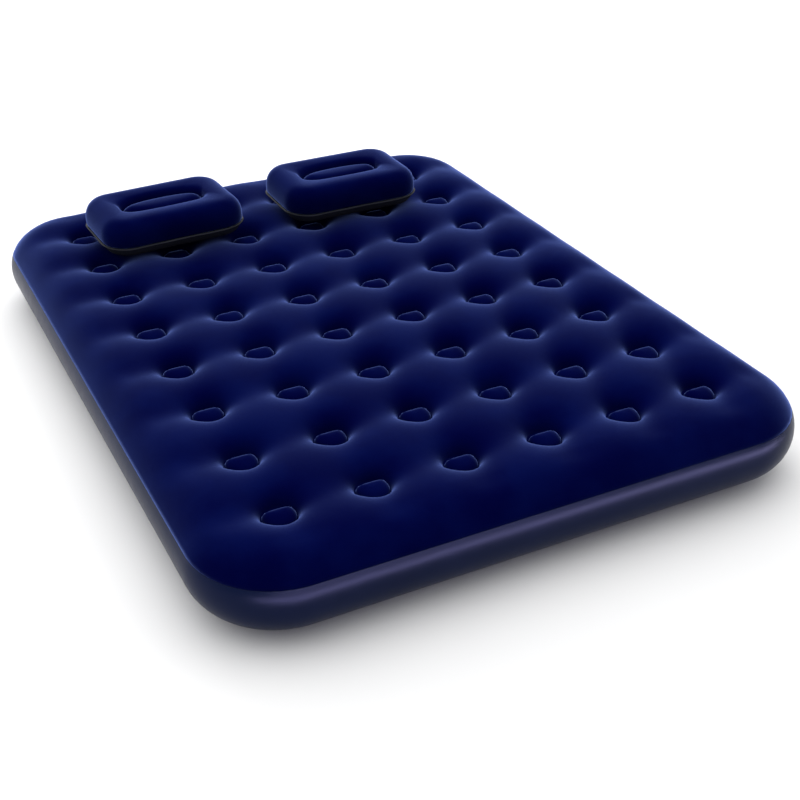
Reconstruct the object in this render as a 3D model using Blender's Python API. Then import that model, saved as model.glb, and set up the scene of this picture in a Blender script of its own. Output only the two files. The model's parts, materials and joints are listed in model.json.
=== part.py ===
"""Flocked coil-beam air bed with two small pillows on its head end.

Metres, +Z up. The origin is at the middle of the flat underside. The bed's width runs along X and its
length along Y, with the head end at +Y.
"""

import math

import bmesh
import bpy
from mathutils import Matrix, Vector
from mathutils.geometry import delaunay_2d_cdt

GAP = 0.0003  # left between pieces that touch

# Bed, outside
BED_WIDTH = 1.52
BED_LENGTH = 2.03
BED_HEIGHT = 0.21
CORNER_RADIUS = 0.21
EDGE_BULGE = 0.125  # how far the side swells out past the edge of the top
EDGE_POWER = 2.1  # roundness of the side: 2 is an ellipse, more is squarer
CORNER_STEPS = 5
EDGE_STEPS = 4
FLOCK_DROP = 0.060  # how far down the side the flocked sheet reaches
FLOCK_EDGE = BED_HEIGHT - FLOCK_DROP
BOTTOM_SEAM = 0.020  # height of the weld between side band and bottom sheet
TOP_SHEET = 0.0012
SIDE_SHEET = 0.0009
BOTTOM_SHEET = 0.0009

# Dimples and the coil beams under them
COLUMNS = 6
ROWS = 8
CELL_MARGIN = 0.114  # from the bed's edge to the outer dimples' cells
WELD_RADIUS = 0.047
WELD_DEPTH = 0.045
SADDLE_DEPTH = 0.006  # between two neighbouring dimples
ISLAND_RADIUS = 0.030
ISLAND_RISE = 0.009
RING_STEPS = 8
COIL_SHEET = 0.0010
STRIP_HEIGHT = 0.016  # tape that joins the six coil beams of a row
STRIP_THICKNESS = 0.0012
STRIP_LEVEL = 0.080

# Two-way valve in the side band, head end; its axis points out along +Y
VALVE_FROM_CORNER = 0.13  # from the start of the corner's curve to the valve's middle
VALVE_SITE = (BED_WIDTH / 2 - CORNER_RADIUS - VALVE_FROM_CORNER, BED_LENGTH / 2, BED_HEIGHT / 2)
VALVE_STEPS = 24
BORE_RADIUS = 0.0170
COLLAR_WALL = 0.0035
COLLAR_OUT = 0.0040  # how far the collar stands out past the side's widest point
FLANGE_CLEAR = 0.0020  # between the flange and the curved sheet it is welded behind
FLANGE_WIDTH = 0.0065
FLANGE_THICKNESS = 0.0014
INSERT_WALL = 0.0040
INSERT_PLAY = 0.0005
INSERT_REACH = 0.0045  # insert past the collar's inner end
THREAD_DEPTH = 0.0010
HEAD_OVERHANG = 0.0020
HEAD_THICKNESS = 0.0025
SEAL_THICKNESS = 0.0014
NECK_HEIGHT = 0.0075
FLAP_THICKNESS = 0.0010
FLAP_OVERLAP = 0.0012
CAP_PLAY = 0.0004
CAP_WALL = 0.0035
CAP_TOP = 0.0034
CAP_TRAVEL = 0.0045  # how far the cap backs off while it unscrews
BOSS_RADIUS = 0.0030
BOSS_HEAD_RADIUS = 0.0046
BOSS_HEAD_THICKNESS = 0.0018
STRAP_THICKNESS = 0.0010
STRAP_WIDTH = 0.0060
STRAP_CLEAR = 0.0045  # strap outside the cap's side

# Pillows
PILLOW_WIDTH = 0.430
PILLOW_DEPTH = 0.300
PILLOW_HEIGHT = 0.105
PILLOW_CORNER = 0.080
PILLOW_BULGE = 0.050
PILLOW_POWER = 2.2
PILLOW_SHEET = 0.0010
PILLOW_FLANGE = 0.006  # width of the welded rim
PILLOW_SEAM = 0.034  # underside of the welded rim
PILLOW_RIM = PILLOW_SEAM + 2 * PILLOW_SHEET + 2 * GAP  # top of the welded rim
PILLOW_STEPS = 5
PILLOW_SIDE_STEPS = 2
SLOT_LENGTH = 0.235  # oval recess
SLOT_WIDTH = 0.070
SLOT_DEPTH = 0.040
SLOT_ISLAND_RISE = 0.016
PILLOWS = {  # middle's distance from the centre line and from the head end, and turn about Z in degrees
    "left": (-0.318, 0.343, 2.6),
    "right": (0.245, 0.365, 0.0),
}

# Push-in valve in the back of each pillow
STEM_STEPS = 12
STEM_RADIUS = 0.0057
STEM_BORE = 0.0038
STEM_LENGTH = 0.0170
STEM_RIM_WIDTH = 0.0010  # past the socket's bore
STEM_RIM_THICKNESS = 0.0012
STEM_PLAY = 0.0003
SOCKET_WALL = 0.0013
SOCKET_FLANGE_WIDTH = 0.0047
SOCKET_FLANGE_THICKNESS = 0.0009
SOCKET_CLEAR = 0.0010  # between the flange and the curved sheet it is welded behind
SOCKET_OUT = 0.0010
STEM_FLAP_THICKNESS = 0.0006
STEM_FLAP_OVERLAP = 0.0008
PLUG_HEAD_WIDTH = 0.0024  # past the stem's bore
PLUG_HEAD_THICKNESS = 0.0015
PLUG_REACH = 0.0080
PLUG_PLAY = 0.0003
PLUG_TAPER = 0.0006
TAB_LENGTH = 0.0095
TAB_WIDTH = 0.0034
TAB_THICKNESS = 0.0009
TAB_ROOT = 0.0012  # how far the tab starts inside the plug's head

COLOURS = {  # colour, roughness, metallic
    "flock": ((0.010, 0.016, 0.120), 0.95, 0.0),
    "side_vinyl": ((0.045, 0.045, 0.130), 0.35, 0.0),
    "base_vinyl": ((0.020, 0.024, 0.070), 0.45, 0.0),
    "pillow_base": ((0.100, 0.110, 0.120), 0.50, 0.0),
    "coil_vinyl": ((0.160, 0.180, 0.260), 0.45, 0.0),
    "valve_plastic": ((0.020, 0.022, 0.030), 0.40, 0.0),
    "seal_rubber": ((0.012, 0.012, 0.012), 0.70, 0.0),
    "soft_vinyl": ((0.550, 0.580, 0.620), 0.30, 0.0),
}


def clear_scene():
    for obj in list(bpy.data.objects):
        bpy.data.objects.remove(obj, do_unlink=True)


def material(slot):
    """The slot's Principled material, made once."""
    found = bpy.data.materials.get(slot)
    if found:
        return found
    colour, roughness, metallic = COLOURS[slot]
    made = bpy.data.materials.new(slot)
    made.use_nodes = True
    shader = made.node_tree.nodes["Principled BSDF"]
    shader.inputs["Base Color"].default_value = (*colour, 1.0)
    shader.inputs["Roughness"].default_value = roughness
    shader.inputs["Metallic"].default_value = metallic
    return made


def add_object(name, bm, slot, parent=None, smooth_angle=math.radians(50)):
    """Turn a bmesh into the named object, shaded smooth except at sharp edges."""
    bmesh.ops.recalc_face_normals(bm, faces=bm.faces)
    mesh = bpy.data.meshes.new(name)
    bm.to_mesh(mesh)
    bm.free()
    mesh.shade_smooth()
    mesh.set_sharp_from_angle(angle=smooth_angle)
    mesh.materials.append(material(slot))
    obj = bpy.data.objects.new(name, mesh)
    bpy.context.collection.objects.link(obj)
    obj.parent = parent
    return obj


def add_empty(name, location, turn=(0.0, 0.0, 0.0), parent=None):
    """A joint's empty: its origin lies on the axis that its children move about or along."""
    empty = bpy.data.objects.new(name, None)
    bpy.context.collection.objects.link(empty)
    empty.location = location
    empty.rotation_euler = turn
    empty.parent = parent
    return empty


def cut(obj, cutter_bm, name):
    """Take a closed shape out of an object; the cutter shares the object's parent."""
    cutter = add_object(name, cutter_bm, "seal_rubber", obj.parent)
    cutter.hide_render = True
    cutter.display_type = "WIRE"
    boolean = obj.modifiers.new("hole", "BOOLEAN")
    boolean.object = cutter
    boolean.operation = "DIFFERENCE"
    boolean.solver = "EXACT"
    return cutter


def join_shape(obj, bm, name):
    """Fuse another closed shape into an object."""
    other = cut(obj, bm, name)
    obj.modifiers[-1].operation = "UNION"
    return other


def rounded_outline(width, length, radius, inset, steps):
    """Counter-clockwise points of a rectangle with round corners, moved inwards by inset."""
    points = []
    for corner in range(4):
        start = corner * math.pi / 2
        side_x = 1 if corner in (0, 3) else -1
        side_y = 1 if corner in (0, 1) else -1
        centre = Vector((side_x * (width / 2 - radius), side_y * (length / 2 - radius)))
        for step in range(steps + 1):
            angle = start + step * math.pi / 2 / steps
            points.append(centre + (radius - inset) * Vector((math.cos(angle), math.sin(angle))))
    return points


def side_point(height, overall, bulge, power, depth=0.0):
    """(inset from the outline, height) on the swollen side, or depth below its surface."""
    level = 2 * height / overall - 1
    inset = bulge * (1 - (1 - abs(level) ** power) ** (1 / power))
    if depth == 0:
        return inset, height
    reach = 1 - inset / bulge
    slope_out = reach ** (power - 1) / bulge
    slope_up = math.copysign(abs(level) ** (power - 1), level) * 2 / overall
    size = math.hypot(slope_out, slope_up)
    return inset + depth * slope_out / size, height - depth * slope_up / size


def curved_heights(low, high, overall, power, steps):
    """Heights from just under high down to low, close together where the side curves over at its top."""
    first, last = (math.asin(min(2 * height / overall - 1, 1.0) ** (power / 2)) for height in (low, high))
    angles = [last + (first - last) * step / steps for step in range(1, steps + 1)]
    return [overall / 2 * (1 + math.sin(angle) ** (2 / power)) for angle in angles]


def seat_depth(side, middle, radius, clearance):
    """How far behind the side's widest point a flat flange of this radius has to sit to clear the curve."""
    reach = 1.5 * radius  # the sheet runs in straight facets, which lie behind the curve
    return max(side(middle + reach)[0], side(middle - reach)[0]) + clearance


def add_loop(bm, outline, height):
    return [bm.verts.new((point.x, point.y, height)) for point in outline]


def bridge(bm, lower, upper):
    """Quads between two rings with the same number of corners."""
    count = len(lower)
    for k in range(count):
        after = (k + 1) % count
        bm.faces.new((lower[k], lower[after], upper[after], upper[k]))


def turned(profile, steps, axis_point=(0.0, 0.0), turn=0.0):
    """Spin a section of (radius, height) points about a line along Z. It closes by itself where the section
    starts and ends on the axis; otherwise the section is a closed ring."""
    bm = bmesh.new()
    verts = [bm.verts.new((radius, 0.0, height)) for radius, height in profile]
    closed = profile[0][0] > 0
    edges = [bm.edges.new((verts[k], verts[k + 1])) for k in range(len(verts) - 1)]
    if closed:
        edges.append(bm.edges.new((verts[-1], verts[0])))
    bmesh.ops.spin(
        bm, geom=verts + edges, cent=(0, 0, 0), axis=(0, 0, 1), angle=2 * math.pi, steps=steps, use_merge=True
    )
    bmesh.ops.remove_doubles(bm, verts=bm.verts, dist=0.00001)
    place = Matrix.Translation((*axis_point, 0.0)) @ Matrix.Rotation(turn, 4, "Z")
    bmesh.ops.transform(bm, matrix=place, verts=bm.verts)
    return bm


def tube_section(inner, outer, low, high):
    return [(inner, low), (outer, low), (outer, high), (inner, high)]


def disc_section(radius, low, high):
    return [(0.0, low), (radius, low), (radius, high), (0.0, high)]


def block(size, centre):
    bm = bmesh.new()
    bmesh.ops.create_cube(bm, size=1.0)
    place = Matrix.Translation(centre) @ Matrix.Diagonal((*size, 1.0))
    bmesh.ops.transform(bm, matrix=place, verts=bm.verts)
    return bm


# ---------------------------------------------------------------- bed


def bed_outline(inset):
    return rounded_outline(BED_WIDTH, BED_LENGTH, CORNER_RADIUS, inset, CORNER_STEPS)


def bed_side(height, depth=0.0):
    return side_point(height, BED_HEIGHT, EDGE_BULGE, EDGE_POWER, depth)


def cell_size():
    return (
        (BED_WIDTH - 2 * CELL_MARGIN) / COLUMNS,
        (BED_LENGTH - 2 * CELL_MARGIN) / ROWS,
    )


def dimple_centre(column, row):
    pitch_x, pitch_y = cell_size()
    return Vector(((column - (COLUMNS - 1) / 2) * pitch_x, (row - (ROWS - 1) / 2) * pitch_y))


def dimple_ring(centre, radius):
    start = math.pi / RING_STEPS
    angles = [start + k * 2 * math.pi / RING_STEPS for k in range(RING_STEPS)]
    return [centre + radius * Vector((math.cos(a), math.sin(a))) for a in angles]


def top_surface(bm):
    """The dimpled top as one open surface that ends in the ring where the edge starts to round over."""
    flat, heights, edges = [], [], []

    def add(point, height):
        flat.append(point)
        heights.append(height)
        return len(flat) - 1

    def add_ring(points, height):
        ring = [add(point, height) for point in points]
        edges.extend((ring[k], ring[(k + 1) % len(ring)]) for k in range(len(ring)))
        return ring

    border = add_ring(bed_outline(EDGE_BULGE), BED_HEIGHT)
    weld = BED_HEIGHT - WELD_DEPTH
    pitch_x, pitch_y = cell_size()
    for column in range(COLUMNS):
        for row in range(ROWS):
            centre = dimple_centre(column, row)
            add_ring(dimple_ring(centre, WELD_RADIUS), weld)
            add_ring(dimple_ring(centre, ISLAND_RADIUS), weld + ISLAND_RISE * 0.8)
            add(centre, weld + ISLAND_RISE)
            if column:
                add(centre - Vector((pitch_x / 2, 0)), BED_HEIGHT - SADDLE_DEPTH)
            if row:
                add(centre - Vector((0, pitch_y / 2)), BED_HEIGHT - SADDLE_DEPTH)
            if column and row:
                add(centre - Vector((pitch_x / 2, pitch_y / 2)), BED_HEIGHT)
    points, _, faces, origins, _, _ = delaunay_2d_cdt(flat, edges, [border], 1, 1e-6)
    verts = []
    for point, origin in zip(points, origins):
        verts.append(bm.verts.new((point.x, point.y, heights[origin[0]])))
    for face in faces:
        bm.faces.new([verts[k] for k in face])
    return [verts[origins_index(origins, k)] for k in border]


def origins_index(origins, wanted):
    """Place, in the triangulation's own list, of the point that was handed in as number wanted."""
    return next(k for k, origin in enumerate(origins) if wanted in origin)


def build_top_sheet():
    """Flocked sheet: dimpled top, rounded edge and a skirt that ends at the flock's edge."""
    bm = bmesh.new()
    ring = top_surface(bm)
    for height in curved_heights(FLOCK_EDGE, BED_HEIGHT, BED_HEIGHT, EDGE_POWER, EDGE_STEPS):
        lower = add_loop(bm, bed_outline(bed_side(height)[0]), height)
        bridge(bm, lower, ring)
        ring = lower
    sheet = add_object("top_sheet", bm, "flock")
    wall = sheet.modifiers.new("sheet", "SOLIDIFY")
    wall.thickness = TOP_SHEET
    wall.offset = -1.0
    wall.use_even_offset = True
    return sheet


def shell_ring(heights, thickness):
    """A band of sheet that follows the swollen side between the given heights."""
    bm = bmesh.new()
    section = [bed_side(height) for height in heights]
    section += [bed_side(height, thickness) for height in reversed(heights)]
    loops = [add_loop(bm, bed_outline(inset), height) for inset, height in section]
    for k, loop in enumerate(loops):
        bridge(bm, loop, loops[(k + 1) % len(loops)])
    return bm


def build_side_band():
    low, high = BOTTOM_SEAM + GAP, FLOCK_EDGE - 2 * GAP
    count = 6
    heights = [low + (high - low) * k / count for k in range(count + 1)]
    band = add_object("side_band", shell_ring(heights, SIDE_SHEET), "side_vinyl")
    radius = BORE_RADIUS + COLLAR_WALL + GAP
    hole = turned(disc_section(radius, -EDGE_BULGE / 2, EDGE_BULGE / 2), VALVE_STEPS)
    cutter = cut(band, hole, "side_band_valve_hole")
    cutter.location = VALVE_SITE
    cutter.rotation_euler = (-math.pi / 2, 0.0, 0.0)
    return band


def build_bottom_sheet():
    """Flat sheet with its rim turned up to the bottom weld."""
    bm = bmesh.new()
    heights = [BOTTOM_SEAM * share for share in (1.0, 0.55, 0.2)]
    outer = [add_loop(bm, bed_outline(bed_side(h)[0]), h) for h in heights]
    outer.append(add_loop(bm, bed_outline(EDGE_BULGE), 0.0))
    inner = []
    for height in heights:
        inset, level = bed_side(height, BOTTOM_SHEET)
        inner.append(add_loop(bm, bed_outline(inset), level))
    inner.append(add_loop(bm, bed_outline(EDGE_BULGE), BOTTOM_SHEET))
    for loops in (outer, inner):
        for upper, lower in zip(loops, loops[1:]):
            bridge(bm, lower, upper)
    bridge(bm, outer[0], inner[0])
    bm.faces.new(outer[-1])
    bm.faces.new(inner[-1])
    return add_object("bottom_sheet", bm, "base_vinyl")


def build_coil_row(row):
    """Six coil beams, each an open tube between the sheets, on the tape that joins them."""
    low = BOTTOM_SHEET + GAP
    high = BED_HEIGHT - WELD_DEPTH - 1.3 * TOP_SHEET - GAP
    section = tube_section(WELD_RADIUS - COIL_SHEET, WELD_RADIUS, low, high)
    turn = math.pi / RING_STEPS
    first = dimple_centre(0, row)
    coils = add_object(f"coil_row_{row + 1}", turned(section, RING_STEPS, first, turn), "coil_vinyl")
    last = dimple_centre(COLUMNS - 1, row)
    size = (last.x - first.x, STRIP_THICKNESS, STRIP_HEIGHT)
    strip = block(size, ((first.x + last.x) / 2, first.y, STRIP_LEVEL))
    join_shape(coils, strip, f"coil_row_{row + 1}_tape")
    for column in range(1, COLUMNS):
        tube = turned(section, RING_STEPS, dimple_centre(column, row), turn)
        join_shape(coils, tube, f"coil_row_{row + 1}_beam_{column + 1}")
    return coils


# ---------------------------------------------------------------- two-way valve


def build_valve():
    """Base, insert, seals, flap, cap and strap, in a frame whose +Z points out of the side band."""
    frame = add_empty("valve_axis", VALVE_SITE, (-math.pi / 2, 0.0, 0.0))
    collar_radius = BORE_RADIUS + COLLAR_WALL
    flange_radius = collar_radius + FLANGE_WIDTH
    flange_high = -seat_depth(bed_side, VALVE_SITE[2], flange_radius, SIDE_SHEET + FLANGE_CLEAR)
    flange_low = flange_high - FLANGE_THICKNESS
    base_section = [
        (BORE_RADIUS, flange_low),
        (flange_radius, flange_low),
        (flange_radius, flange_high),
        (collar_radius, flange_high),
        (collar_radius, COLLAR_OUT),
        (BORE_RADIUS, COLLAR_OUT),
    ]
    add_object("valve_base", turned(base_section, VALVE_STEPS), "valve_plastic", frame)

    insert_radius = BORE_RADIUS - INSERT_PLAY
    insert_bore = insert_radius - INSERT_WALL
    insert_end = flange_low - INSERT_REACH
    seal_low = COLLAR_OUT + GAP
    head_low = seal_low + SEAL_THICKNESS + GAP
    head_high = head_low + HEAD_THICKNESS
    neck_radius = insert_radius - THREAD_DEPTH
    neck_high = head_high + NECK_HEIGHT
    insert_section = [
        (insert_bore, insert_end),
        (insert_radius, insert_end),
        (insert_radius, head_low),
        (collar_radius + HEAD_OVERHANG, head_low),
        (collar_radius + HEAD_OVERHANG, head_high),
        (neck_radius, head_high),
        (neck_radius, neck_high),
        (insert_bore, neck_high),
    ]
    add_object("valve_insert", turned(insert_section, VALVE_STEPS), "valve_plastic", frame)
    seal = tube_section(insert_radius + GAP, collar_radius, seal_low, seal_low + SEAL_THICKNESS)
    add_object("insert_seal", turned(seal, VALVE_STEPS), "seal_rubber", frame)

    flap_radius = insert_bore + FLAP_OVERLAP
    flap_top = insert_end - GAP
    hinge = add_empty("flap_hinge", (0.0, -flap_radius, flap_top), parent=frame)
    flap_section = disc_section(flap_radius, -FLAP_THICKNESS, 0.0)
    add_object("valve_flap", turned(flap_section, VALVE_STEPS, (0.0, flap_radius)), "seal_rubber", hinge)

    cap_seal_low = neck_high + GAP
    cap_seal_high = cap_seal_low + SEAL_THICKNESS
    cap_seal = tube_section(insert_bore + GAP, neck_radius - GAP, cap_seal_low, cap_seal_high)
    add_object("cap_seal", turned(cap_seal, VALVE_STEPS), "seal_rubber", frame)

    ring_low = head_high + GAP
    ring_high = ring_low + STRAP_THICKNESS
    cap_low = ring_high + GAP
    ceiling = cap_seal_high + GAP
    cap_high = ceiling + CAP_TOP
    cap_inner = neck_radius + CAP_PLAY
    cap_outer = cap_inner + CAP_WALL
    loop_low = cap_high + CAP_TRAVEL + 2 * GAP
    loop_high = loop_low + STRAP_THICKNESS
    boss_high = loop_high + GAP
    cap_section = [
        (0.0, ceiling),
        (cap_inner, ceiling),
        (cap_inner, cap_low),
        (cap_outer, cap_low),
        (cap_outer, cap_high),
        (BOSS_RADIUS, cap_high),
        (BOSS_RADIUS, boss_high),
        (BOSS_HEAD_RADIUS, boss_high),
        (BOSS_HEAD_RADIUS, boss_high + BOSS_HEAD_THICKNESS),
        (0.0, boss_high + BOSS_HEAD_THICKNESS),
    ]
    add_object("valve_cap", turned(cap_section, VALVE_STEPS), "valve_plastic", frame)

    collar_ring = tube_section(neck_radius + GAP, cap_outer, ring_low, ring_high)
    strap = add_object("cap_strap", turned(collar_ring, VALVE_STEPS), "soft_vinyl", frame)
    side = cap_outer + STRAP_CLEAR
    foot = block(
        (side - neck_radius, STRAP_WIDTH, STRAP_THICKNESS),
        (-(side + neck_radius) / 2 - GAP, 0.0, (ring_low + ring_high) / 2),
    )
    riser = block(
        (STRAP_THICKNESS, STRAP_WIDTH, loop_high - ring_low),
        (-side - STRAP_THICKNESS / 2, 0.0, (ring_low + loop_high) / 2),
    )
    reach = side - BOSS_RADIUS - GAP
    arm = block(
        (reach, STRAP_WIDTH, STRAP_THICKNESS),
        (-side + reach / 2 - STRAP_THICKNESS / 2, 0.0, (loop_low + loop_high) / 2),
    )
    loop_hole = turned(
        disc_section(BOSS_RADIUS + GAP, loop_low - STRAP_THICKNESS, loop_high + STRAP_THICKNESS), VALVE_STEPS
    )
    loop_ring = turned(disc_section(BOSS_HEAD_RADIUS, loop_low, loop_high), VALVE_STEPS)
    join_shape(strap, foot, "cap_strap_foot")
    join_shape(strap, riser, "cap_strap_riser")
    join_shape(strap, arm, "cap_strap_arm")
    join_shape(strap, loop_ring, "cap_strap_loop")
    cut(strap, loop_hole, "cap_strap_hole")


# ---------------------------------------------------------------- pillows


def pillow_outline(inset):
    return rounded_outline(PILLOW_WIDTH, PILLOW_DEPTH, PILLOW_CORNER, inset, PILLOW_STEPS)


def pillow_side(height, depth=0.0):
    return side_point(height, PILLOW_HEIGHT, PILLOW_BULGE, PILLOW_POWER, depth)


def slot_outline(inset):
    """The oval recess, with as many corners as the pillow's outline has."""
    return rounded_outline(SLOT_LENGTH, SLOT_WIDTH, SLOT_WIDTH / 2, inset, PILLOW_STEPS)


def pillow_rows():
    """(outline, height) of the top sheet's rings, from the welded rim inwards."""
    rows = [(pillow_outline(pillow_side(PILLOW_RIM)[0] - PILLOW_FLANGE), PILLOW_RIM)]
    half = PILLOW_HEIGHT / 2
    lower = [PILLOW_RIM + (half - PILLOW_RIM) * k / PILLOW_SIDE_STEPS for k in range(PILLOW_SIDE_STEPS + 1)]
    upper = curved_heights(half, PILLOW_HEIGHT, PILLOW_HEIGHT, PILLOW_POWER, PILLOW_SIDE_STEPS + 1)
    for height in lower + upper[-2::-1]:
        rows.append((pillow_outline(pillow_side(height)[0]), height))
    rows.append((pillow_outline(PILLOW_BULGE), PILLOW_HEIGHT))
    weld = PILLOW_HEIGHT - SLOT_DEPTH
    rows.append((slot_outline(-0.014), PILLOW_HEIGHT - SLOT_DEPTH * 0.22))
    rows.append((slot_outline(0.0), weld))
    rows.append((slot_outline(SLOT_WIDTH * 0.22), weld + SLOT_ISLAND_RISE * 0.8))
    rows.append((slot_outline(SLOT_WIDTH * 0.42), weld + SLOT_ISLAND_RISE))
    return rows


def pillow_dish():
    """The bottom sheet: flat where the pillow lies, turned up at the sides, with the welded rim outside."""
    bm = bmesh.new()
    edge = pillow_outline(pillow_side(PILLOW_SEAM)[0] - PILLOW_FLANGE)
    rim_low, rim_high = add_loop(bm, edge, PILLOW_SEAM), add_loop(bm, edge, PILLOW_SEAM + PILLOW_SHEET)
    heights = [PILLOW_SEAM * share for share in (1.0, 0.5, 0.15)]
    outer = [rim_low] + [add_loop(bm, pillow_outline(pillow_side(h)[0]), h) for h in heights]
    outer.append(add_loop(bm, pillow_outline(PILLOW_BULGE), 0.0))
    shoulder = pillow_outline(pillow_side(PILLOW_SEAM)[0] + PILLOW_SHEET)
    inner = [rim_high, add_loop(bm, shoulder, PILLOW_SEAM + PILLOW_SHEET)]
    for height in heights[1:]:
        inset, level = pillow_side(height, PILLOW_SHEET)
        inner.append(add_loop(bm, pillow_outline(inset), level))
    inner.append(add_loop(bm, pillow_outline(PILLOW_BULGE), PILLOW_SHEET))
    for loops in (outer, inner):
        for upper, lower in zip(loops, loops[1:]):
            bridge(bm, lower, upper)
    bridge(bm, rim_low, rim_high)
    bm.faces.new(outer[-1])
    bm.faces.new(inner[-1])
    return bm


def build_pillow(side, across, from_head, turn):
    """One pillow: two sheets welded at the rim, the wall that holds the recess down, and a valve."""
    place = (across, BED_LENGTH / 2 - from_head, BED_HEIGHT + GAP)
    lift = add_empty(f"{side}_pillow_lift", place, (0.0, 0.0, math.radians(turn)))
    bm = bmesh.new()
    loops = [add_loop(bm, outline, height) for outline, height in pillow_rows()]
    for lower, upper in zip(loops, loops[1:]):
        bridge(bm, lower, upper)
    bm.faces.new(loops[-1])
    top = add_object(f"{side}_pillow_top_sheet", bm, "flock", lift)
    wall = top.modifiers.new("sheet", "SOLIDIFY")
    wall.thickness = PILLOW_SHEET
    wall.offset = -1.0
    wall.use_even_offset = True

    add_object(f"{side}_pillow_bottom_sheet", pillow_dish(), "pillow_base", lift)

    bm = bmesh.new()
    low, high = PILLOW_SHEET + GAP, PILLOW_HEIGHT - SLOT_DEPTH - 1.5 * PILLOW_SHEET - GAP
    section = [(0.0, low), (0.0, high), (PILLOW_SHEET, high), (PILLOW_SHEET, low)]
    loops = [add_loop(bm, slot_outline(inset), height) for inset, height in section]
    for k, loop in enumerate(loops):
        bridge(bm, loop, loops[(k + 1) % len(loops)])
    add_object(f"{side}_pillow_inner_wall", bm, "coil_vinyl", lift)

    build_pillow_valve(side, lift, top)


def build_pillow_valve(side, lift, top):
    """Push-in valve in the back of a pillow; its frame's +Z points out of the pillow's back."""
    site = (0.0, PILLOW_DEPTH / 2, PILLOW_HEIGHT / 2)
    frame = add_empty(f"{side}_pillow_valve_axis", site, (-math.pi / 2, 0.0, 0.0), lift)
    socket_bore = STEM_RADIUS + STEM_PLAY
    socket_radius = socket_bore + SOCKET_WALL
    hole = turned(disc_section(socket_radius + GAP, -PILLOW_BULGE / 2, PILLOW_BULGE / 2), STEM_STEPS)
    cutter = cut(top, hole, f"{side}_pillow_valve_hole")
    cutter.location = site
    cutter.rotation_euler = (-math.pi / 2, 0.0, 0.0)
    flange_radius = socket_radius + SOCKET_FLANGE_WIDTH
    flange_high = -seat_depth(
        pillow_side, PILLOW_HEIGHT / 2, flange_radius, PILLOW_SHEET + SOCKET_CLEAR
    )
    socket = [
        (socket_bore, flange_high - SOCKET_FLANGE_THICKNESS),
        (flange_radius, flange_high - SOCKET_FLANGE_THICKNESS),
        (flange_radius, flange_high),
        (socket_radius, flange_high),
        (socket_radius, SOCKET_OUT),
        (socket_bore, SOCKET_OUT),
    ]
    add_object(f"{side}_pillow_valve_base", turned(socket, STEM_STEPS), "soft_vinyl", frame)
    rim_low = SOCKET_OUT + GAP
    rim_high = rim_low + STEM_RIM_THICKNESS
    rim_radius = socket_bore + STEM_RIM_WIDTH
    stem_end = rim_high - STEM_LENGTH
    stem = [
        (STEM_BORE, stem_end),
        (STEM_RADIUS, stem_end),
        (STEM_RADIUS, rim_low),
        (rim_radius, rim_low),
        (rim_radius, rim_high),
        (STEM_BORE, rim_high),
    ]
    add_object(f"{side}_pillow_valve_stem", turned(stem, STEM_STEPS), "soft_vinyl", frame)
    flap_radius = STEM_BORE + STEM_FLAP_OVERLAP
    hinge = add_empty(f"{side}_pillow_flap_hinge", (0.0, -flap_radius, stem_end - GAP), parent=frame)
    flap = disc_section(flap_radius, -STEM_FLAP_THICKNESS, 0.0)
    add_object(
        f"{side}_pillow_valve_flap", turned(flap, STEM_STEPS, (0.0, flap_radius)), "soft_vinyl", hinge
    )
    head_low = rim_high + GAP
    head_high = head_low + PLUG_HEAD_THICKNESS
    head_radius = STEM_BORE + PLUG_HEAD_WIDTH
    plug_radius = STEM_BORE - PLUG_PLAY
    plug = [
        (0.0, head_low - PLUG_REACH),
        (plug_radius - PLUG_TAPER, head_low - PLUG_REACH),
        (plug_radius, head_low),
        (head_radius, head_low),
        (head_radius, head_high),
        (0.0, head_high),
    ]
    cap = add_object(f"{side}_pillow_valve_plug", turned(plug, STEM_STEPS), "soft_vinyl", frame)
    tab = block(
        (TAB_LENGTH, TAB_WIDTH, TAB_THICKNESS),
        (head_radius - TAB_ROOT + TAB_LENGTH / 2, 0.0, (head_low + head_high) / 2),
    )
    join_shape(cap, tab, f"{side}_pillow_plug_tab")


def main():
    clear_scene()
    build_top_sheet()
    build_side_band()
    build_bottom_sheet()
    for row in range(ROWS):
        build_coil_row(row)
    build_valve()
    for side, (across, from_head, turn) in PILLOWS.items():
        build_pillow(side, across, from_head, turn)


main()
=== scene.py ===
"""Flocked air bed with two loose pillows: the looks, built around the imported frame.

Metres, +Z up. The origin is the middle of the flat underside, +Y points to the head end and +X across
the bed, so the left pillow is the one at -X.
"""

import json
import logging
import math
from dataclasses import dataclass, field
from enum import Enum
from typing import Callable, Sequence

import bmesh
import bpy
import numpy as np
from mathutils import Matrix, Vector


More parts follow.
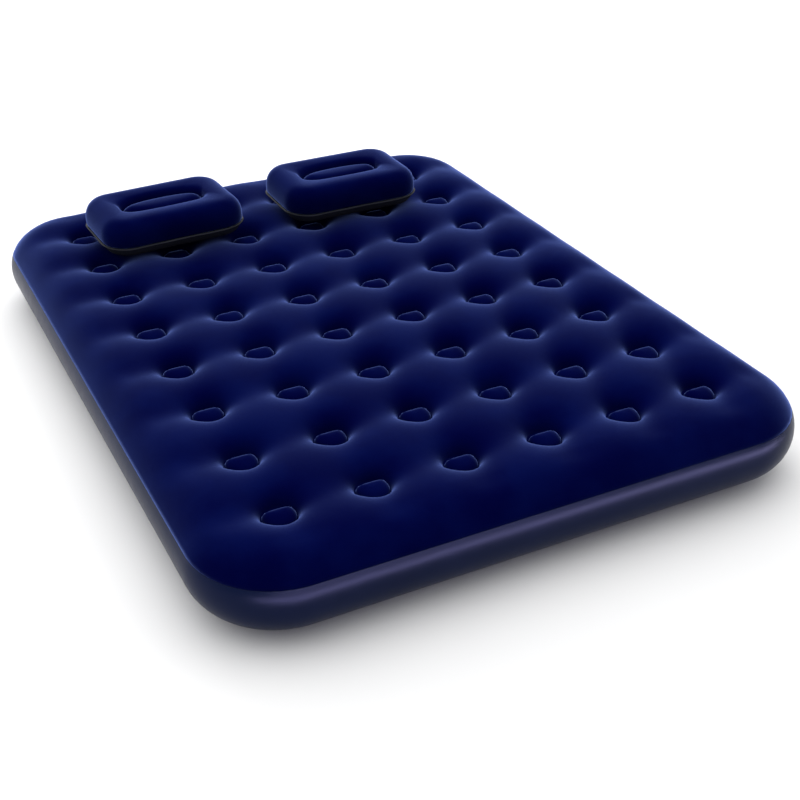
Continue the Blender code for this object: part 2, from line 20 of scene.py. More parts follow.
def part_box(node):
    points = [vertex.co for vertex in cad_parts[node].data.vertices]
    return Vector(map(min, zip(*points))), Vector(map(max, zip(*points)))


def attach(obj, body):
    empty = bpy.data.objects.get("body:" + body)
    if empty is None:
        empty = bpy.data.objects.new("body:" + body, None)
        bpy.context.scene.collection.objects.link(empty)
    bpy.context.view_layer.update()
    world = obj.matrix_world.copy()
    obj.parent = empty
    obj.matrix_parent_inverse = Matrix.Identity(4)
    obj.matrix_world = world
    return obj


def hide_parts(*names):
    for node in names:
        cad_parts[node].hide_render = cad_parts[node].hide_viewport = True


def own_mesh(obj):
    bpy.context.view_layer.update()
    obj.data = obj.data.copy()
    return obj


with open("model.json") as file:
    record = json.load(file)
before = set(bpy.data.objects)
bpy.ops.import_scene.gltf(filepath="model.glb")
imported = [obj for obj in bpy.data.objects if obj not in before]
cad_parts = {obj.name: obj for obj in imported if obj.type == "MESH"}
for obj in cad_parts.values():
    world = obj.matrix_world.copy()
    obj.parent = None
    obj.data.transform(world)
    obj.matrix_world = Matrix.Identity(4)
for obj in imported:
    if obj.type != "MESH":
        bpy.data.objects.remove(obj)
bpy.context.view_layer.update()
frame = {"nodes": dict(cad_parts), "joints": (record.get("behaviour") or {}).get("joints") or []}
MERGE_DISTANCE = 0.00002

logging.basicConfig(level=logging.INFO, format="%(message)s")
LOG = logging.getLogger("air_bed")

Colour = tuple[float, float, float]
Point = tuple[float, float, float]
Face = tuple[int, ...]
Section = Sequence[tuple[float, float]]
Socket = bpy.types.NodeSocket


class Side(Enum):
    """Which of the two pillows is meant."""

    LEFT = "left"
    RIGHT = "right"


class Slot(Enum):
    """The record's material slots."""

    FLOCK = "flock"
    SIDE_VINYL = "side_vinyl"
    BASE_VINYL = "base_vinyl"
    PILLOW_BASE = "pillow_base"
    COIL_VINYL = "coil_vinyl"
    VALVE_PLASTIC = "valve_plastic"
    SEAL_RUBBER = "seal_rubber"
    SOFT_VINYL = "soft_vinyl"


# ---------------------------------------------------------------- finishes


class Graph:
    """A material's node tree, with short calls that add the nodes that the finishes share."""

    def __init__(self, name: str) -> None:
        """Start a material with one Principled shader.

        Args:
            name: the material's name.
        """
        self.material = bpy.data.materials.new(name)
        self.material.use_nodes = True
        self.tree = self.material.node_tree
        self.shader = next(n for n in self.tree.nodes if n.type == "BSDF_PRINCIPLED")
        self.place = self.node("ShaderNodeTexCoord").outputs["Object"]

    def node(self, kind: str, **settings: object) -> bpy.types.Node:
        """Add a node and set its properties.

        Args:
            kind: the node's type name.
            settings: properties of the node.

        Returns:
            The new node.
        """
        made = self.tree.nodes.new(kind)
        for key, value in settings.items():
            setattr(made, key, value)
        return made

    def link(self, source: Socket, target: Socket) -> None:
        """Join two sockets."""
        self.tree.links.new(source, target)

    def set(self, **values: float | tuple[float, ...]) -> None:
        """Set the shader's own sockets; an underscore in a name stands for a space."""
        for key, value in values.items():
            self.shader.inputs[key.replace("_", " ")].default_value = value

    def noise(self, scale: float, detail: float = 2.0, stretch: Colour = (1, 1, 1)) -> Socket:
        """Noise on object coordinates.

        Args:
            scale: how many patches to the metre.
            detail: how much finer structure is added.
            stretch: scale of the coordinates along each axis.

        Returns:
            The noise's value, from 0 to 1.
        """
        mapping = self.node("ShaderNodeMapping")
        mapping.inputs["Scale"].default_value = stretch
        self.link(self.place, mapping.inputs["Vector"])
        noise = self.node("ShaderNodeTexNoise")
        noise.inputs["Scale"].default_value = scale
        noise.inputs["Detail"].default_value = detail
        self.link(mapping.outputs["Vector"], noise.inputs["Vector"])
        return noise.outputs["Fac"]

    def cells(self, scale: float) -> Socket:
        """Distance to the nearest middle in a pattern of cells, so many to the metre.

        Args:
            scale: how many cells to the metre.

        Returns:
            The distance; 0 at a middle.
        """
        cells = self.node("ShaderNodeTexVoronoi")
        cells.inputs["Scale"].default_value = scale
        self.link(self.place, cells.inputs["Vector"])
        return cells.outputs["Distance"]

    def ramp(self, value: Socket, low: float, high: float) -> Socket:
        """Spread a value so that low becomes 0 and high becomes 1.

        Args:
            value: the value to spread.
            low: what becomes 0.
            high: what becomes 1.

        Returns:
            The spread value, held between 0 and 1.
        """
        spread = self.node("ShaderNodeMapRange", interpolation_type="SMOOTHSTEP")
        spread.inputs["From Min"].default_value = low
        spread.inputs["From Max"].default_value = high
        self.link(value, spread.inputs["Value"])
        return spread.outputs["Result"]

    def mix(self, share: Socket, first: Colour, second: Colour) -> Socket:
        """Mix two colours by a share.

        Args:
            share: 0 gives the first colour and 1 the second.
            first: a linear colour.
            second: a linear colour.

        Returns:
            The mixed colour.
        """
        mix = self.node("ShaderNodeMix", data_type="RGBA")
        mix.inputs[6].default_value = (*first, 1.0)
        mix.inputs[7].default_value = (*second, 1.0)
        self.link(share, mix.inputs[0])
        return mix.outputs[2]

    def shade(self, colour: Socket, share: Socket, depth: float) -> Socket:
        """Darken a colour where a share is high.

        Args:
            colour: the colour to darken.
            share: 0 leaves the colour and 1 darkens it fully.
            depth: how much of the light is taken at a share of 1.

        Returns:
            The darkened colour.
        """
        mix = self.node("ShaderNodeMix", data_type="RGBA", blend_type="MULTIPLY")
        mix.inputs[7].default_value = (1 - depth, 1 - depth, 1 - depth, 1.0)
        self.link(share, mix.inputs[0])
        self.link(colour, mix.inputs[6])
        return mix.outputs[2]

    def colour(self, value: Socket) -> None:
        """Give the shader its base colour."""
        self.link(value, self.shader.inputs["Base Color"])

    def uneven_gloss(self, pattern: Socket, low: float, high: float) -> None:
        """Let the shader's roughness follow a pattern between two values.

        Args:
            pattern: a value from 0 to 1.
            low: the roughness where the pattern is 0.
            high: the roughness where it is 1.
        """
        gloss = self.node("ShaderNodeMapRange")
        gloss.inputs["To Min"].default_value = low
        gloss.inputs["To Max"].default_value = high
        self.link(pattern, gloss.inputs["Value"])
        self.link(gloss.outputs["Result"], self.shader.inputs["Roughness"])

    def bump(self, height: Socket, strength: float, distance: float) -> None:
        """Add a bump on top of the bumps that the shader already has.

        Args:
            height: the height pattern.
            strength: how much of it shows.
            distance: the pattern's height in metres.
        """
        bump = self.node("ShaderNodeBump")
        bump.inputs["Strength"].default_value = strength
        bump.inputs["Distance"].default_value = distance
        self.link(height, bump.inputs["Height"])
        normal = self.shader.inputs["Normal"]
        if normal.is_linked:
            self.link(normal.links[0].from_socket, bump.inputs["Normal"])
        self.link(bump.outputs["Normal"], normal)


@dataclass(frozen=True)
class Flock:
    """Short velvety flock: dark when looked at straight on, bright when seen along the pile."""

    name: str = "flock"
    deep: Colour = (0.0002, 0.0006, 0.034)
    worn: Colour = (0.0006, 0.0022, 0.046)
    sheen: float = 1.0
    sheen_roughness: float = 0.29
    sheen_tint: Colour = (0.26, 0.38, 1.0)

    def material(self) -> bpy.types.Material:
        """Make the material: pile that lies in soft patches, single fibres and a fine fuzz.

        Returns:
            The material.
        """
        graph = Graph(self.name)
        patches = graph.ramp(graph.noise(7.0, 3.0), 0.35, 0.70)
        fibres = graph.noise(1400.0, 1.0)
        colour = graph.mix(patches, self.deep, self.worn)
        graph.colour(graph.shade(colour, graph.ramp(fibres, 0.45, 0.75), 0.35))
        graph.set(
            Roughness=0.95,
            Specular_IOR_Level=0.0,
            Sheen_Weight=self.sheen,
            Sheen_Roughness=self.sheen_roughness,
            Sheen_Tint=(*self.sheen_tint, 1.0),
        )
        graph.bump(graph.noise(90.0, 3.0), 0.10, 0.0010)
        graph.bump(fibres, 0.35, 0.0004)
        return graph.material


@dataclass(frozen=True)
class SheetVinyl:
    """Soft vinyl sheet with a faint leather-like emboss and the slow waves of a sheet under tension."""

    name: str
    colour: Colour
    tint: Colour
    roughness: float
    emboss: float = 0.18
    waves: float = 0.20
    specular: float = 0.5
    shine: Colour = (1.0, 1.0, 1.0)

    def material(self) -> bpy.types.Material:
        """Make the material: cloudy colour, uneven gloss, emboss and waves.

        Returns:
            The material.
        """
        graph = Graph(self.name)
        clouds = graph.noise(5.0, 3.0)
        graph.colour(graph.mix(graph.ramp(clouds, 0.3, 0.7), self.colour, self.tint))
        graph.uneven_gloss(graph.noise(40.0, 2.0), self.roughness - 0.05, self.roughness + 0.07)
        graph.set(Specular_IOR_Level=self.specular, Specular_Tint=(*self.shine, 1.0))
        graph.bump(graph.noise(9.0, 1.0), self.waves, 0.004)
        graph.bump(graph.cells(1100.0), self.emboss, 0.0003)
        return graph.material


@dataclass(frozen=True)
class Moulded:
    """Moulded plastic or rubber: a fine spark-eroded grain with faint flow marks."""

    name: str
    colour: Colour
    roughness: float
    grain: float = 0.12
    clear: float = 0.0

    def material(self) -> bpy.types.Material:
        """Make the material: grain, flow marks and, on the milky parts, light that shines through.

        Returns:
            The material.
        """
        graph = Graph(self.name)
        light = tuple(min(1.0, value * 1.35) for value in self.colour)
        flow = graph.ramp(graph.noise(60.0, 4.0, (1.0, 1.0, 3.0)), 0.3, 0.8)
        graph.colour(graph.mix(flow, self.colour, light))
        graph.uneven_gloss(graph.noise(220.0, 3.0), self.roughness - 0.06, self.roughness + 0.08)
        graph.set(Subsurface_Weight=self.clear, Subsurface_Radius=(0.004, 0.004, 0.005))
        graph.bump(graph.noise(2600.0, 2.0), self.grain, 0.0001)
        return graph.material


@dataclass(frozen=True)
class Finishes:
    """Every finish on the bed, made once each."""

    flock: bpy.types.Material = field(default_factory=lambda: Flock().material())
    side: bpy.types.Material = field(
        default_factory=lambda: SheetVinyl(
            "side_vinyl",
            (0.0035, 0.0080, 0.034),
            (0.0045, 0.0095, 0.040),
            0.30,
            waves=0.12,
            specular=0.06,
            shine=(0.80, 0.78, 1.0),
        ).material()
    )
    base: bpy.types.Material = field(
        default_factory=lambda: SheetVinyl(
            "base_vinyl", (0.012, 0.014, 0.050), (0.016, 0.018, 0.058), 0.48
        ).material()
    )
    pillow_base: bpy.types.Material = field(
        default_factory=lambda: SheetVinyl(
            "pillow_base_vinyl",
            (0.008, 0.010, 0.017),
            (0.014, 0.016, 0.022),
            0.60,
            waves=0.1,
            specular=0.2,
        ).material()
    )
    coil: bpy.types.Material = field(
        default_factory=lambda: SheetVinyl(
            "coil_vinyl", (0.140, 0.165, 0.270), (0.190, 0.210, 0.300), 0.42
        ).material()
    )
    plastic: bpy.types.Material = field(
        default_factory=lambda: Moulded("valve_plastic", (0.018, 0.020, 0.030), 0.40).material()
    )
    rubber: bpy.types.Material = field(
        default_factory=lambda: Moulded("seal_rubber", (0.012, 0.012, 0.012), 0.75, 0.25).material()
    )
    soft: bpy.types.Material = field(
        default_factory=lambda: Moulded("soft_vinyl", (0.50, 0.54, 0.60), 0.28, 0.05, 0.25).material()
    )


# ---------------------------------------------------------------- shapes


@dataclass(frozen=True)
class RoundedRectangle:
    """The outline of a bed or a pillow, or the oval of a recess."""

    width: float
    length: float
    radius: float

    def ring(self, inset: float, arc: int, across: int, along: int) -> np.ndarray:
        """Counter-clockwise points of the outline moved inwards.

        Args:
            inset: how far the outline is moved inwards.
            arc: steps in each corner.
            across: steps in each straight side that runs along X.
            along: steps in each straight side that runs along Y.

        Returns:
            An array of points, one row each, starting at the right-hand side.
        """
        half = np.array((self.width / 2 - self.radius, self.length / 2 - self.radius))
        points: list[np.ndarray] = []
        for corner, (side_x, side_y) in enumerate(((1, 1), (-1, 1), (-1, -1), (1, -1))):
            centre = half * (side_x, side_y)
            for step in range(arc + 1):
                angle = (corner + step / arc) * math.pi / 2
                ray = np.array((math.cos(angle), math.sin(angle)))
                points.append(centre + (self.radius - inset) * ray)
            steps = along if corner % 2 else across
            turned = (corner + 1) * math.pi / 2
            travel = 2 * (half[1] if corner % 2 else half[0])
            ahead = np.array((-math.sin(turned), math.cos(turned)))
            start = points[-1]
            points.extend(start + ahead * travel * step / steps for step in range(1, steps))
        return self._unique(points)

    @staticmethod
    def _unique(points: list[np.ndarray]) -> np.ndarray:
        """Leave out points that fall on the one before them, as on an oval with no straight sides."""
        kept = [p for k, p in enumerate(points) if np.linalg.norm(p - points[k - 1]) > 1e-6]
        return np.array(kept)

    def inset_of(self, flat: np.ndarray) -> np.ndarray:
        """How far inside the outline each point of an (n, 2) array lies.

        Args:
            flat: the points, one row each.

        Returns:
            Their insets; negative outside the outline.
        """
        past = np.abs(flat) - (self.width / 2 - self.radius, self.length / 2 - self.radius)
        outside = np.linalg.norm(np.maximum(past, 0.0), axis=1)
        return self.radius - outside - np.minimum(past.max(axis=1), 0.0)


@dataclass(frozen=True)
class Swell:
    """How a blown-up side swells out: a superellipse from the flat top to the widest point and back."""

    overall: float
    bulge: float
    power: float

    def inset(self, height: float) -> float:
        """How far the side stands back from its widest point at a height."""
        level = abs(2 * height / self.overall - 1)
        return self.bulge * (1 - max(0.0, 1 - level**self.power) ** (1 / self.power))

    def height(self, inset: np.ndarray) -> np.ndarray:
        """Height of the upper half above points that lie this far inside the widest point."""
        reach = 1 - np.clip(inset / self.bulge, 0.0, 1.0)
        return self.overall / 2 * (1 + (1 - reach**self.power) ** (1 / self.power))

    def insets_between(self, first: float, last: float, steps: int) -> list[float]:
        """Insets from one to another, spaced evenly along the curve.

        Args:
            first: the inset to start from.
            last: the inset to end at.
            steps: how many steps lie between them.

        Returns:
            The insets, both ends included.
        """
        angles = [math.acos((1 - inset / self.bulge) ** (self.power / 2)) for inset in (first, last)]
        turns = [angles[0] + (angles[1] - angles[0]) * k / steps for k in range(steps + 1)]
        return [self.bulge * (1 - math.cos(turn) ** (2 / self.power)) for turn in turns]


class Shell:
    """A quad mesh that grows ring by ring."""

    def __init__(self) -> None:
        """Start with no points and no faces."""
        self.points: list[Point] = []
        self.faces: list[Face] = []

    def ring(self, points: Sequence[Sequence[float]]) -> list[int]:
        """Add a ring's points and return their numbers.

        Args:
            points: the ring's points, in order.

        Returns:
            The numbers of the points in the mesh.
        """
        first = len(self.points)
        self.points.extend(tuple(float(v) for v in p) for p in points)
        return list(range(first, len(self.points)))

    def bridge(self, lower: list[int], upper: list[int]) -> None:
        """Add quads between two rings that have the same number of points.

        Args:
            lower: the numbers of one ring's points.
            upper: the numbers of the next ring's points.
        """
        for k, low in enumerate(lower):
            after = (k + 1) % len(lower)
            self.faces.append((low, lower[after], upper[after], upper[k]))

    def stack(self, rings: Sequence[Sequence[Sequence[float]]]) -> list[list[int]]:
        """Add rings from the outside in or the bottom up, bridge each to the next and return them.

        Args:
            rings: the points of each ring.

        Returns:
            The numbers of each ring's points.
        """
        numbers = [self.ring(points) for points in rings]
        for lower, upper in zip(numbers, numbers[1:]):
            self.bridge(lower, upper)
        return numbers

    def close(self, ring: list[int], middle: Sequence[float]) -> None:
        """Fill a ring with a fan about a point.

        Args:
            ring: the numbers of the ring's points.
            middle: the point that the fan meets in.
        """
        centre = self.ring([middle])[0]
        for k, start in enumerate(ring):
            self.faces.append((start, ring[(k + 1) % len(ring)], centre))

    def turn_round(self, first: int = 0) -> None:
        """Turn the faces round, from a number on, so that they point the other way."""
        self.faces[first:] = [face[::-1] for face in self.faces[first:]]

    def mesh(self, name: str, merge: bool = True) -> bpy.types.Mesh:
        """Make the mesh, with smooth faces.

        Args:
            name: the mesh's name.
            merge: whether points that fall on each other are merged.

        Returns:
            The mesh.
        """
        mesh = bpy.data.meshes.new(name)
        mesh.from_pydata(self.points, [], self.faces)
        if merge:
            repaired(mesh, lambda bm: bmesh.ops.remove_doubles(bm, verts=bm.verts, dist=MERGE_DISTANCE))
        mesh.shade_smooth()
        return mesh


def add_object(name: str, mesh: bpy.types.Mesh, material: bpy.types.Material) -> bpy.types.Object:
    """Link a new object with one material.

    Args:
        name: the object's name.
        mesh: its mesh.
        material: its finish.

    Returns:
        The new object.
    """
    mesh.materials.clear()
    mesh.materials.append(material)
    obj = bpy.data.objects.new(name, mesh)
    bpy.context.scene.collection.objects.link(obj)
    return obj


def bake(obj: bpy.types.Object) -> bpy.types.Object:
    """Turn an object with modifiers into a plain mesh, in place.

    Args:
        obj: the object.

    Returns:
        The same object.
    """
    graph = bpy.context.evaluated_depsgraph_get()
    mesh = bpy.data.meshes.new_from_object(obj.evaluated_get(graph))
    materials = [slot.material for slot in obj.material_slots]
    obj.modifiers.clear()
    obj.data = mesh
    mesh.materials.clear()
    for material in materials:
        mesh.materials.append(material)
    return obj


def thicken(obj: bpy.types.Object, thickness: float) -> bpy.types.Object:
    """Give a sheet its thickness, inwards, and make it plain.

    Args:
        obj: the sheet.
        thickness: how thick it becomes.

    Returns:
        The same object.
    """
    wall = obj.modifiers.new("sheet", "SOLIDIFY")
    wall.thickness = thickness
    wall.offset = -1.0
    return bake(obj)


def repaired(mesh: bpy.types.Mesh, repair: Callable[[bmesh.types.BMesh], object]) -> bpy.types.Mesh:
    """Change a mesh in place by a function that works on its editable form.

    Args:
        mesh: the mesh.
        repair: what is done to its editable form.

    Returns:
        The same mesh.
    """
    bm = bmesh.new()
    bm.from_mesh(mesh)
    repair(bm)
    bm.to_mesh(mesh)
    bm.free()
    return mesh


def soften(obj: bpy.types.Object, width: float, segments: int = 2) -> None:
    """Round an object's sharp edges.

    Args:
        obj: the object.
        width: how wide the rounding is.
        segments: how many steps it has.
    """
    edge = obj.modifiers.new("edge", "BEVEL")
    edge.width = width
    edge.segments = segments
    edge.limit_method = "ANGLE"
    edge.angle_limit = math.radians(40)


def cut(obj: bpy.types.Object, cutter: bpy.types.Object, operation: str = "DIFFERENCE") -> None:
    """Take a closed shape out of an object, or join it, and remove the shape.

    Args:
        obj: the object.
        cutter: the closed shape.
        operation: DIFFERENCE takes the shape out and UNION joins it.
    """
    boolean = obj.modifiers.new("cut", "BOOLEAN")
    boolean.object = cutter
    boolean.operation = operation
    boolean.solver = "EXACT"
    bake(obj)
    bpy.data.objects.remove(cutter)


def lathe(name: str, section: Section, steps: int, material: bpy.types.Material) -> bpy.types.Object:
    """Turn a section about Z into a closed object.

    Args:
        name: the object's name.
        section: (radius, height) points; it starts and ends on the axis, or closes on itself.
        steps: how many sides the turned shape has.
        material: its finish.

    Returns:
        The turned object, with its faces pointing out.
    """
    bm = bmesh.new()
    verts = [bm.verts.new((radius, 0.0, height)) for radius, height in section]
    pairs = list(zip(verts, verts[1:]))
    if section[0][0] > 0:
        pairs.append((verts[-1], verts[0]))
    edges = [bm.edges.new(pair) for pair in pairs]
    whole = {"cent": (0, 0, 0), "axis": (0, 0, 1), "angle": math.tau, "steps": steps}
    bmesh.ops.spin(bm, geom=verts + edges, use_merge=True, **whole)
    bmesh.ops.remove_doubles(bm, verts=bm.verts, dist=0.000005)
    bmesh.ops.recalc_face_normals(bm, faces=bm.faces)
    mesh = bpy.data.meshes.new(name)
    bm.to_mesh(mesh)
    bm.free()
    mesh.shade_smooth()
    return add_object(name, mesh, material)


def drill(obj: bpy.types.Object, radius: float, reach: float, steps: int, place: Matrix) -> None:
    """Cut a hole along the Z axis of a place, as far as the reach on both sides of it.

    Args:
        obj: the object.
        radius: the hole's radius.
        reach: how far the hole goes to either side.
        steps: how many sides the hole has.
        place: where the hole's own axes go.
    """
    section = [(0, -reach), (radius, -reach), (radius, reach), (0, reach)]
    hole = lathe("hole", section, steps, obj.data.materials[0])
    hole.data.transform(place)
    cut(obj, hole)


def finish_turned(obj: bpy.types.Object, place: Matrix, edge: float) -> bpy.types.Object:
    """Round a moulded piece's edges, make it plain and put it in its place.

    Args:
        obj: the piece, still in its own axes.
        place: where its own axes go.
        edge: the radius of its edges.

    Returns:
        The piece, with its place in its mesh.
    """
    soften(obj, edge)
    bake(obj)
    obj.data.transform(place)
    obj.data.shade_smooth()
    obj.data.set_sharp_from_angle(angle=math.radians(50))
    return obj


class Tree:
    """A geometry node tree with named inputs."""

    def __init__(self, name: str, inputs: dict[str, float | int]) -> None:
        """Start a tree.

        Args:
            name: the tree's name.
            inputs: each input's name and value; an int gives a whole-number input.
        """
        self.group = bpy.data.node_groups.new(name, "GeometryNodeTree")
        interface = self.group.interface
        interface.new_socket("Geometry", in_out="OUTPUT", socket_type="NodeSocketGeometry")
        self.values = inputs
        for key, value in inputs.items():
            kind = "NodeSocketInt" if isinstance(value, int) else "NodeSocketFloat"
            interface.new_socket(key, in_out="INPUT", socket_type=kind)
        self.source = self.group.nodes.new("NodeGroupInput")
        self.target = self.group.nodes.new("NodeGroupOutput")

    def node(
        self, kind: str, inputs: dict[str | int, object] | None = None, **settings: object
    ) -> bpy.types.Node:
        """Add a node.

        Args:
            kind: the node's type name.
            inputs: values or sockets for its inputs.
            settings: properties of the node.

        Returns:
            The new node.
        """
        made = self.group.nodes.new(kind)
        for key, value in settings.items():
            setattr(made, key, value)
        for key, value in (inputs or {}).items():
            if isinstance(value, Socket):
                self.group.links.new(value, made.inputs[key])
            else:
                made.inputs[key].default_value = value
        return made

    def math(self, operation: str, first: object, second: object = 0.0) -> Socket:
        """A sum, product or other operation on two values or sockets."""
        return self.node("ShaderNodeMath", {0: first, 1: second}, operation=operation).outputs[0]

    def vector(self, x: object = 0.0, y: object = 0.0, z: object = 0.0) -> Socket:
        """A vector from three values or sockets."""
        return self.node("ShaderNodeCombineXYZ", {0: x, 1: y, 2: z}).outputs[0]

    def object(
        self, name: str, geometry: Socket, material: bpy.types.Material
    ) -> bpy.types.Object:
        """End the tree, run it and return its result as a plain mesh object.

        Args:
            name: the object's name.
            geometry: what the tree makes.
            material: its finish.

        Returns:
            The object, without the modifier.
        """
        real = self.node("GeometryNodeRealizeInstances", {"Geometry": geometry}).outputs[0]
        dressed = self.node("GeometryNodeSetMaterial", {"Geometry": real, "Material": material})
        self.group.links.new(dressed.outputs[0], self.target.inputs[0])
        obj = add_object(name, bpy.data.meshes.new(name), material)
        modifier = obj.modifiers.new("tree", "NODES")
        modifier.node_group = self.group
        for item in self.group.interface.items_tree:
            if item.in_out == "INPUT":
                modifier[item.identifier] = self.values[item.name]
        bake(obj)
        obj.data.materials.clear()
        obj.data.materials.append(material)
        return obj


def hand_over(
    obj: bpy.types.Object,
    body: str,
    nodes: Sequence[str] = (),
) -> bpy.types.Object:
    """Fasten a finished piece to its body and report it.

    Args:
        obj: the piece.
        body: the body that it rides on.
        nodes: the frame's nodes that it stands for.

    Returns:
        The piece.
    """
    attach(obj, body)
    if nodes:
        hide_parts(*nodes)
    LOG.info("%s: %d faces on %s", obj.name, len(obj.data.polygons), body)
    return obj


@dataclass(frozen=True)
class AirPressure:
    """Blows a sheet up with cloth simulation, and limits how far its points may move."""

    pressure: float
    limit: float
    frames: int = 20
    tension: float = 40.0
    bending: float = 2.0
    evening: int = 8

    def blow_up(self, obj: bpy.types.Object, held: np.ndarray) -> None:
        """Simulate, then keep the moved points.

        Args:
            obj: the sheet.
            held: 1 for each point that stays where it is, 0 for each that is free.
        """
        before = read_points(obj.data)
        trial = bpy.data.objects.new(obj.name + "_trial", obj.data.copy())
        bpy.context.scene.collection.objects.link(trial)
        group = trial.vertex_groups.new(name="held")
        for number in np.nonzero(held > 0)[0]:
            group.add([int(number)], float(held[number]), "REPLACE")
        cloth = trial.modifiers.new("cloth", "CLOTH")
        settings = cloth.settings
        settings.quality = 6
        settings.mass = 0.3
        settings.tension_stiffness = self.tension
        settings.compression_stiffness = self.tension
        settings.shear_stiffness = self.tension / 2
        settings.bending_stiffness = self.bending
        settings.use_pressure = True
        settings.uniform_pressure_force = self.pressure
        settings.vertex_group_mass = "held"
        settings.effector_weights.gravity = 0.0
        cloth.point_cache.frame_start = 1
        cloth.point_cache.frame_end = self.frames
        for number in range(1, self.frames + 1):
            bpy.context.scene.frame_set(number)
        graph = bpy.context.evaluated_depsgraph_get()
        after = read_points(trial.evaluated_get(graph).data)
        bpy.context.scene.frame_set(1)
        bpy.data.objects.remove(trial)
        move = after - before
        size = np.linalg.norm(move, axis=1, keepdims=True)
        move *= self.limit / np.maximum(size, self.limit) * (1 - held[:, None])
        write_points(obj.data, before + self.evened(obj.data, move, held))

    def evened(self, mesh: bpy.types.Mesh, move: np.ndarray, held: np.ndarray) -> np.ndarray:
        """Even the moves out over the sheet, so that no point stands apart from its neighbours.

        Args:
            mesh: the sheet.
            move: how far each point moves.
            held: 1 for each point that stays where it is, 0 for each that is free.

        Returns:
            The evened moves.
        """
        flat = np.empty(len(mesh.edges) * 2, dtype=np.int32)
        mesh.edges.foreach_get("vertices", flat)
        ends = np.concatenate((flat.reshape(-1, 2), flat.reshape(-1, 2)[:, ::-1]))
        count = np.bincount(ends[:, 0], minlength=len(move))[:, None]
        for _ in range(self.evening):
            sums = [np.bincount(ends[:, 0], move[ends[:, 1], k], len(move)) for k in range(3)]
            move = (move + np.stack(sums, 1) / count) / 2 * (1 - held[:, None])
        return move


def drop_loose_points(bm: bmesh.types.BMesh) -> None:
    """Delete points that no face uses."""
    bmesh.ops.delete(bm, geom=[v for v in bm.verts if not v.link_faces], context="VERTS")


def joint(name: str) -> dict:
    """One of the frame's joints."""
    return next(entry for entry in frame["joints"] if entry["name"] == name)


def read_points(mesh: bpy.types.Mesh) -> np.ndarray:
    """The mesh's points as an (n, 3) array.

    Args:
        mesh: the mesh.

    Returns:
        The points.
    """
    flat = np.empty(len(mesh.vertices) * 3)
    mesh.vertices.foreach_get("co", flat)
    return flat.reshape(-1, 3)


def write_points(mesh: bpy.types.Mesh, points: np.ndarray) -> None:
    """Move the mesh's points to those of an (n, 3) array."""
    mesh.vertices.foreach_set("co", points.ravel())
    mesh.update()


# ---------------------------------------------------------------- bed


def raised(flat: np.ndarray, height: float = 0.0) -> list[Point]:
    """Flat points put at a height."""
    return [(x, y, height) for x, y in flat]


